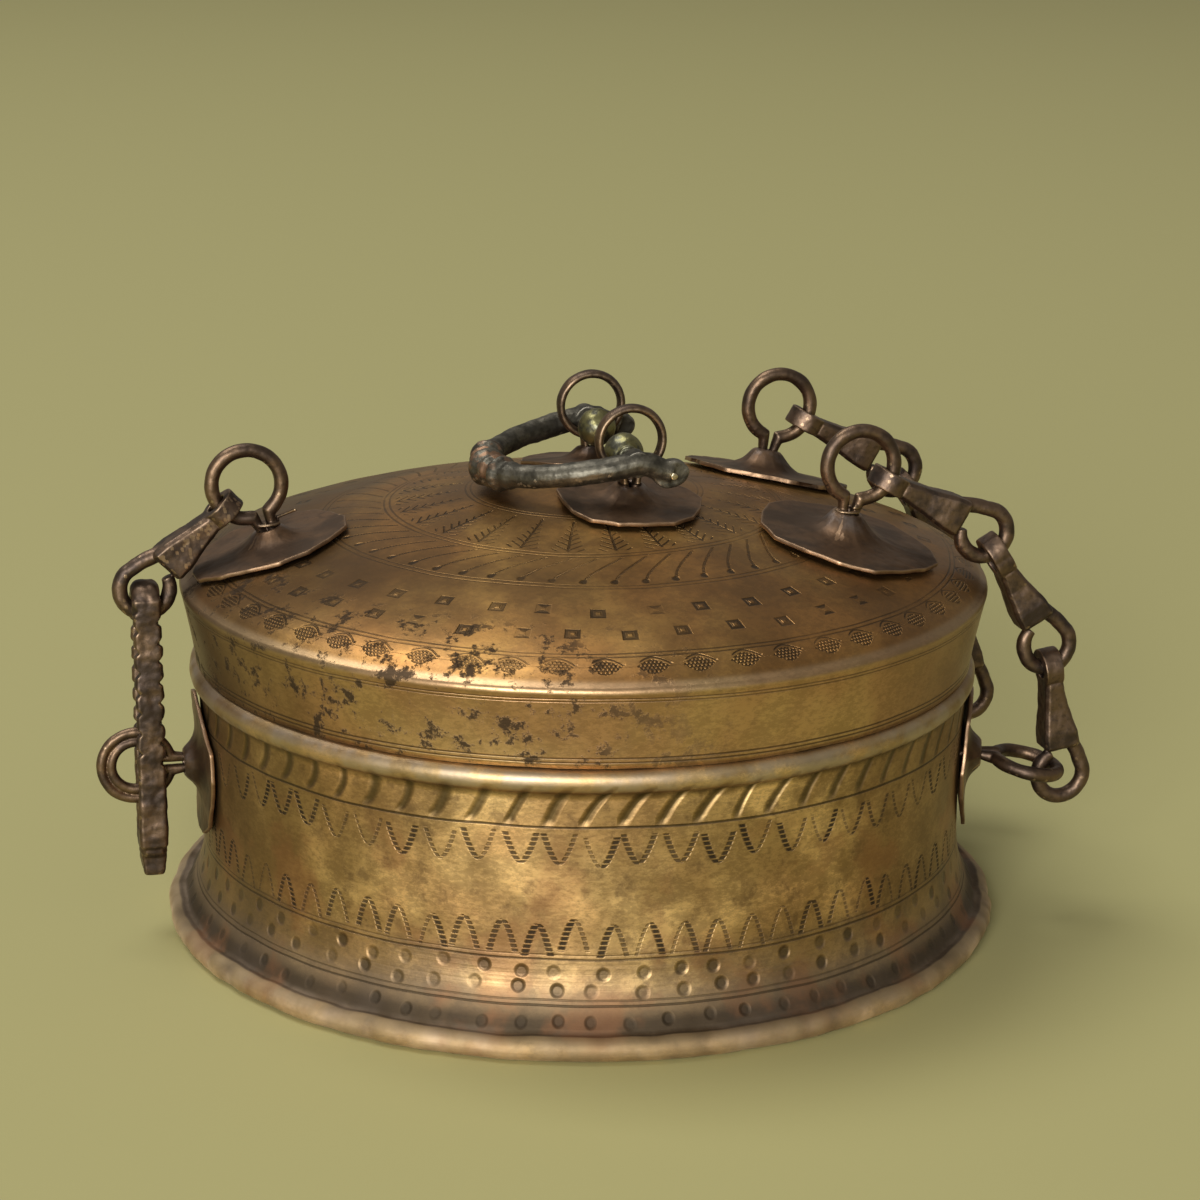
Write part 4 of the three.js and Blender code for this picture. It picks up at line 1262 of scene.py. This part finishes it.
# %% Wire loops
NECK_RISE = 1.9
NECK_OPENING = 14
LEG_SPLAY = 6.5
LEG_DROP = 2.2
LEG_SPACE = 0.15
TWIN_WIRE = 0.74
BINDING_WIRE = 0.5
BINDING_STEPS = 30


def wire_leg(side, inside, top):
    """From the folded end inside up to the neck."""
    leg_x = LEG_WIRE + LEG_SPACE
    return [
        Vector((side * LEG_SPLAY, 0, inside - LEG_DROP)),
        Vector((side * (leg_x + LEG_WIRE), 0, inside - LEG_WIRE)),
        Vector((side * leg_x, 0, inside + LEG_WIRE)),
        Vector((side * leg_x, 0, top - LEG_WIRE)),
    ]


def binding_wire(way, top):
    """A thin wire twisted once round the neck, with its end sticking out."""
    turns = [math.radians(way * (30 + 400 * i / BINDING_STEPS)) for i in range(BINDING_STEPS + 1)]
    wrap = [Vector((3.1 * math.cos(t), 2.0 * math.sin(t), top + 0.1 + 1.4 * i / BINDING_STEPS))
            for i, t in enumerate(turns)]
    wrap += [wrap[-1] + Vector((0.8 * k, -0.5 * k * way, 0.45 * k)) for k in range(1, 9)]
    return drawn_wire(wrap, [BINDING_WIRE] * len(wrap))


def wire_loop(fitting):
    sheet, spare = (WALL, 0.3) if fitting.body == "drum" else (LID_SHEET, 0.8)
    inside = -(sheet + spare + LEG_WIRE)
    top = fitting.boss + 0.3 + PLATE_SHEET
    centre = (0, NECK_RISE + fitting.ring + fitting.deep)
    lean = Matrix.Rotation(math.radians(fitting.lean), 4, "Y")
    tilt = lean @ Matrix.Rotation(math.radians(fitting.tip), 4, "X")
    thickness = fitting.deep if len(fitting.insets) == 1 else fitting.deep * TWIN_WIRE
    legs = [wire_leg(side, inside, top) for side in (-1, 1)]
    parts = []
    for inset in fitting.insets:
        ring = arc(centre, fitting.ring - inset, -90 - NECK_OPENING, -450 + NECK_OPENING, 84)
        points = legs[0] + [tilt @ p + Vector((0, 0, top)) for p in ring] + legs[1][::-1]
        radii = [thickness * (1 + 0.06 * shake(p, 5, 70)) for p in points]
        for i in range(-len(legs[1]), len(legs[0])):
            radii[i] = LEG_WIRE
        parts.append(drawn_wire(points, radii))
    if fitting.binding:
        parts.append(binding_wire(fitting.binding, top))
    made = fuse(fitting.name, parts, voxel=0.26, smoothing=4)
    if fitting.wide != fitting.deep:
        on_ring, on_legs = fitting.wide / fitting.deep, LEG_WIRE / fitting.deep
        reshape(made, lambda p: (p.x, p.y * (on_ring if p.z > top else on_legs), p.z))
    hammer(made, amount=0.09, scale=4.0, seed=71)
    put(made, fitting.seat)
    settle(made, f"{fitting.name}_loop", fitting.body, "link_bronze", "ring_bronze")


for fitting in fittings:
    wire_loop(fitting)

# %% [markdown]
# ## Forged links
# One link is a strap folded round the wire before it, a bar that widens to a block with a flat end, and a
# round wire hook that springs from the block's edge and is bent almost closed, with an open tip. Three
# separate pieces would show sharp seams, and one sculpted lump would lose the flat faces. So eye, bar and
# hook are made apart and fused into one skin, which forging does too. Two links of a chain reach from the
# lid's ring to the place of the lower eye, so their elbow is where two circles meet.

# %% Forged links
EYE_HOLE = 2.9
EYE_OUTER = EYE_HOLE + 2.5
STRAP = 5.2
BLOCK_LENGTH = 12
BLOCK_WIDTH = 9.0
BLOCK_TOP = 5.7
BLOCK_BOTTOM = 4.7
BLOCK_SETBACK = 8
HOOK_RADIUS = 6.6
HOOK_START, HOOK_TIP = 92, -163
LINK_LENGTH = 31.5
MIDDLE_SLOT = 2.2


def upright(x, half, radius, sides):
    return rod((x, 0, -half), (x, 0, half), radius, sides)


def link_eye(eye_at, slot):
    """The strap's eye, made long where a slot is given."""
    back, front = eye_at - slot / 3, eye_at + slot
    eye = upright(eye_at, STRAP / 2, EYE_OUTER, 40)
    if slot:
        eye = fuse("eye", [eye, upright(front, STRAP / 2, EYE_OUTER, 40)], voxel=0.3, smoothing=1)
    for x in {back, front}:
        cut_away(eye, upright(x, STRAP, EYE_HOLE, 32))
    if slot:
        cut_away(eye, block(((back + front) / 2, 0, 0), (front - back, 2 * EYE_HOLE, 2 * STRAP)))
    return eye


def link_bar(start, end):
    """Its end face is pulled out and spread three times, from a flat bar to the block."""
    x, wide, high, z = start + 0.5, BLOCK_WIDTH * 0.92, STRAP * 0.98, 0.0
    bar = block((start, 0, 0), (1, wide, high))
    edit(bar)
    pick_faces(bar, lambda normal: normal.x > 0.9)
    full, middle = BLOCK_TOP + BLOCK_BOTTOM, (BLOCK_TOP - BLOCK_BOTTOM) / 2
    for next_x, next_wide, next_high, next_z in (
        (end - BLOCK_LENGTH, BLOCK_WIDTH * 0.84, STRAP * 1.34, 0.1),
        (end - BLOCK_LENGTH * 0.4, BLOCK_WIDTH, full * 0.94, middle * 0.8),
        (end, BLOCK_WIDTH * 0.95, full, middle),
    ):
        bpy.ops.mesh.extrude_region_move(
            TRANSFORM_OT_translate={"value": ((next_x - x) * MM, 0, (next_z - z) * MM)})
        bpy.ops.transform.resize(
            value=(1, next_wide / wide, next_high / high), center_override=(next_x * MM, 0, next_z * MM))
        x, wide, high, z = next_x, next_wide, next_high, next_z
    bpy.ops.object.mode_set(mode="OBJECT")
    modify(bar, "BEVEL", width=1.3 * MM, segments=1, angle_limit=math.radians(40))
    return bar


def link_hook(hook_x, block_end):
    """A round wire from the block's upper edge, drawn thinner to its tip."""
    bow = arc((hook_x, 0), HOOK_RADIUS, HOOK_START, HOOK_TIP, 60)
    root = Vector((block_end - 2, 0, BLOCK_TOP - WIRE))
    bow = [root, root.lerp(bow[0], 0.5) + Vector((0, 0, 0.4)), *bow]
    radii = [WIRE * (1.07 - 0.22 * max(0.0, i / len(bow) - 0.85) / 0.15) for i in range(len(bow))]
    return drawn_wire(bow, radii)


def link(node, body, eye_at, length, slot, place, angle, flip, seed):
    """Built along +X from the pivot with its hook on the +Z side, then laid in place."""
    hook_x = eye_at + length
    block_end = hook_x - BLOCK_SETBACK
    eye = link_eye(eye_at, slot)
    bar = link_bar(eye_at + EYE_HOLE + slot + 0.6, block_end)
    made = fuse(node, [eye, bar, link_hook(hook_x, block_end)], voxel=0.27, smoothing=6)
    hammer(made, amount=0.13, scale=3.4, seed=seed)
    lay = Matrix.Translation(place) @ Matrix.Rotation(-angle, 4, "Y")
    put(made, lay @ Matrix.Rotation(math.pi if flip else 0, 4, "X"))
    settle(made, node, body, "link_bronze")


def heading(start, end):
    """The angle at which a link runs in the XZ plane."""
    return math.atan2(end.z - start.z, end.x - start.x)


closure_ring, closure_hook = joint_place("closure_link_swing"), joint_place("hasp_swing")
closure_length = (closure_hook - closure_ring).length - LID_RING
link("closure_link", "closure_link", LID_RING, closure_length, 0,
     closure_ring, heading(closure_ring, closure_hook), True, 80)


def elbow_between(start, end, first, second):
    """Where two links of these lengths meet, on the upper side of the line from start to end."""
    gap = end - start
    foot = (first ** 2 - second ** 2 + gap.length ** 2) / (2 * gap.length)
    rise = math.sqrt(max(first ** 2 - foot ** 2, 0))
    ahead = gap.normalized()
    return start + ahead * foot + Vector((-ahead.z, 0, ahead.x)) * rise


LAST_ANGLE = math.radians(-81)
for word, seed in (("front", 84), ("rear", 88)):
    ring_place, low_place = joint_place(f"{word}_upper_swing"), joint_place(f"{word}_middle_swing")
    elbow = elbow_between(ring_place, low_place, LID_RING + LINK_LENGTH, HOOK_RADIUS + LINK_LENGTH)
    for part, start, angle, eye_at, slot in (
        ("upper", ring_place, heading(ring_place, elbow), LID_RING, 0),
        ("middle", elbow, heading(elbow, low_place), HOOK_RADIUS, MIDDLE_SLOT),
        ("lower", low_place, LAST_ANGLE, HOOK_RADIUS, 0),
    ):
        seed += 1
        body = f"{word}_{part}_link"
        link(f"chain_{body}", body, eye_at, LINK_LENGTH, slot, start, angle, False, seed)

# %% [markdown]
# ## Hasp
# A long strap folded over the hook's wire: its two legs leave a slot that drops over the staple, and run
# together into a block with a narrower tab. The outer and inner edges of the legs are filed into rows of
# notches, cut here with a tilted block as a file would, because bump alone would leave the outline smooth.

# %% Hasp
HASP_LOW, HASP_HIGH = node_box("hasp")
HASP_TOP = closure_hook.z - HOOK_RADIUS
HASP_X = closure_hook.x
HASP_DEEP = 7.5
HASP_SLOT = 5.7
HASP_LEG = 3.0
HASP_HALF = HASP_SLOT / 2 + HASP_LEG
TAB_WIDTH = 7.0
TAB_LENGTH = 7.6
TAB_END = HASP_LOW.z - HASP_TOP
SLOT_END = TAB_END + TAB_LENGTH + HASP_LEG
NOTCH_PITCH = 5.6
NOTCH_COUNT = 8

CROWN_Z = HASP_HIGH.z - HASP_TOP - HASP_HALF
CROWN_HOLE_DROP = 1.2


def hasp_crown():
    """The round top of the strap, with a hole for the hook's wire that opens into the slot."""
    hole_z = CROWN_Z - CROWN_HOLE_DROP
    crown = rod((-HASP_DEEP / 2, 0, CROWN_Z), (HASP_DEEP / 2, 0, CROWN_Z), HASP_HALF, 48)
    modify(crown, "BEVEL", width=2.4 * MM, segments=4, angle_limit=math.radians(50))
    cut_away(crown, rod((-HASP_DEEP, 0, hole_z), (HASP_DEEP, 0, hole_z), HASP_SLOT / 2, 32))
    slot_size = (2 * HASP_DEEP, HASP_SLOT, 2 * (HASP_HALF - CROWN_HOLE_DROP))
    cut_away(crown, block((0, 0, CROWN_Z - HASP_HALF), slot_size))
    return crown


def hasp_leg(side):
    """One side of the slot, notched on its two edges."""
    leg_y = side * (HASP_SLOT + HASP_LEG) / 2
    leg_size = (HASP_DEEP, HASP_LEG, CROWN_Z - SLOT_END + 4)
    leg = block((0, leg_y, (CROWN_Z + SLOT_END) / 2), leg_size, bevel=0.7)
    for edge in (-1, 1):
        for i in range(NOTCH_COUNT):
            z = CROWN_Z - 3 - NOTCH_PITCH * (i + 0.25 * edge) + 0.8 * shake((i, edge, side), 0.7, 90)
            place = (edge * (HASP_DEEP / 2 + 0.5), leg_y, z)
            cut_away(leg, block(place, (3.0, 2 * HASP_LEG, 2.5), tilt=edge * 0.75))
    return leg


def hasp_tab():
    """The narrower end to lift the hasp by, pulled out of a block."""
    tab = block((0, 0, SLOT_END - HASP_LEG), (HASP_DEEP * 0.9, TAB_WIDTH, 4))
    edit(tab)
    pick_faces(tab, lambda normal: normal.z < -0.9)
    pull = TAB_END - (SLOT_END - HASP_LEG - 2)
    bpy.ops.mesh.extrude_region_move(TRANSFORM_OT_translate={"value": (0, 0, pull * MM)})
    bpy.ops.transform.resize(value=(0.82, 0.92, 1), center_override=(0, 0, TAB_END * MM))
    bpy.ops.object.mode_set(mode="OBJECT")
    modify(tab, "BEVEL", width=0.6 * MM, segments=1)
    return tab


hasp_parts = [
    hasp_crown(), hasp_leg(-1), hasp_leg(1),
    block((0, 0, SLOT_END - 1.2), (HASP_DEEP * 0.96, 2 * HASP_HALF - 1.5, 7.5), bevel=1.4),
    hasp_tab(),
]
hasp = fuse("hasp", hasp_parts, voxel=0.3, smoothing=5)
hammer(hasp, amount=0.32, scale=4.2, seed=91)
put(hasp, Matrix.Translation((HASP_X, 0, HASP_TOP)))
settle(hasp, "hasp", "hasp", "link_bronze")

# %% [markdown]
# ## Carrying handle
# A hammered horseshoe bar with beads in its middle. Its arms run past the pivots and turn down into flat
# oval ends, each with a small bright pin. The pivot pins end in balls inside the rings. The bar is one
# drawn wire whose thickness swells into the beads, because beads threaded on a plain bar would look loose.

# %% Carrying handle
BAIL_PIVOT = joint_place("bail_swing")
BAIL_REACH = 34.4
BAIL_HALF = 28.9
BAIL_BAR = 3.3
BAIL_TILT = math.radians(10.3)
ARM_OVERRUN = 8.5
ARM_DROOP = 4.5
DISC_LONG, DISC_SHORT, DISC_THICK = 4.9, 3.7, 4.2
PIVOT_RADIUS = 2.2
HUB_RADIUS = PIVOT_RADIUS + 1.3
COLLAR_RADIUS = PIVOT_RADIUS + 0.6
KNOB_RADIUS = 5.2
KNOB_INSET = 13.6
STUD_RADIUS = 0.95
STUD_LENGTH = 3.4
STUD_PLACE = DISC_THICK / 2 + 0.85
bail_lay = Matrix.Translation(BAIL_PIVOT) @ Matrix.Rotation(-BAIL_TILT, 4, "Y")


def crosswise(x, start, end, z, radius, sides=24):
    """A rod along Y."""
    return rod((x, start, z), (x, end, z), radius, sides)


def bail_path():
    arm = [(ARM_OVERRUN * along, -ARM_DROOP * down) for along, down in ((1, 1), (0.75, 0.72), (0.4, 0.2))]
    points = [Vector((x, -BAIL_HALF, z)) for x, z in arm]
    for i in range(121):
        t = math.radians(-90 + 180 * i / 120)
        points.append(Vector((-BAIL_REACH * math.cos(t), BAIL_HALF * math.sin(t), 0)))
    return points + [Vector((x, BAIL_HALF, z)) for x, z in reversed(arm)]


def bail_thickness(p):
    """Beads in the middle with a collar on each side, and arms that taper a little."""
    if p.x > -BAIL_REACH / 2:
        return BAIL_BAR * (1 - 0.08 * min(1.0, max(0.0, p.x / ARM_OVERRUN)))
    swell = 2.2 * math.exp(-(p.y / 2.8) ** 2)
    for place, high, width in ((5.6, 1.5, 1.4), (9.6, 1.8, 1.6), (13.2, 0.7, 1.1)):
        swell += high * math.exp(-((abs(p.y) - place) / width) ** 2)
    return BAIL_BAR * 0.96 + swell


path = bail_path()
bail_parts = [drawn_wire(path, [bail_thickness(p) for p in path])]
for side in (-1, 1):
    outer, inner = (side * (BAIL_HALF + k * DISC_THICK / 2) for k in (1, -1))
    disc = crosswise(ARM_OVERRUN, inner, outer, -ARM_DROOP, DISC_SHORT, 32)
    stretch = DISC_LONG / DISC_SHORT
    reshape(disc, lambda p: (ARM_OVERRUN + (p.x - ARM_OVERRUN) * stretch, p.y, p.z))
    modify(disc, "BEVEL", width=0.5 * MM, segments=2, angle_limit=math.radians(50))
    bail_parts.append(disc)
    bail_parts.append(crosswise(0, side * (BAIL_HALF + 1.8), side * (BAIL_HALF - 3.2), 0, HUB_RADIUS))
bail = fuse("bail", bail_parts, voxel=0.3, smoothing=4)
hammer(bail, amount=0.2, scale=4.0, seed=101)
put(bail, bail_lay)
settle(bail, "bail", "bail", "bail_bronze")

for word, side in (("front", -1), ("rear", 1)):
    nothing_selected()
    knob_y = side * (BAIL_HALF - KNOB_INSET)
    bpy.ops.mesh.primitive_uv_sphere_add(
        segments=48, ring_count=32, radius=KNOB_RADIUS * MM, location=(0, knob_y * MM, 0))
    ball = bpy.context.object
    pin = crosswise(0, knob_y, side * (BAIL_HALF + BAIL_BAR / 2), 0, PIVOT_RADIUS)
    collar_start, collar_end = (knob_y + side * KNOB_RADIUS * 0.8, knob_y + side * (KNOB_RADIUS + 0.5))
    collar = crosswise(0, collar_start, collar_end, 0, COLLAR_RADIUS)
    pivot = fuse("pivot", [ball, pin, collar], voxel=0.26, smoothing=2)
    hammer(pivot, amount=0.22, scale=3.6, seed=106 + side)
    put(pivot, bail_lay)
    settle(pivot, f"bail_pivot_{word}", "bail_pins", "bail_bronze", "ball_bronze")

    outside = side * (BAIL_HALF + STUD_PLACE)
    stud_start, stud_end = outside - STUD_LENGTH / 2, outside + STUD_LENGTH / 2
    stud = crosswise(ARM_OVERRUN, stud_start, stud_end, -ARM_DROOP, STUD_RADIUS, 20)
    modify(stud, "BEVEL", width=0.3 * MM, segments=3, angle_limit=math.radians(50))
    hammer(stud, amount=0.04, scale=1.2, seed=108)
    put(stud, bail_lay)
    settle(stud, f"bail_stud_{word}", "bail", "pin_brass")
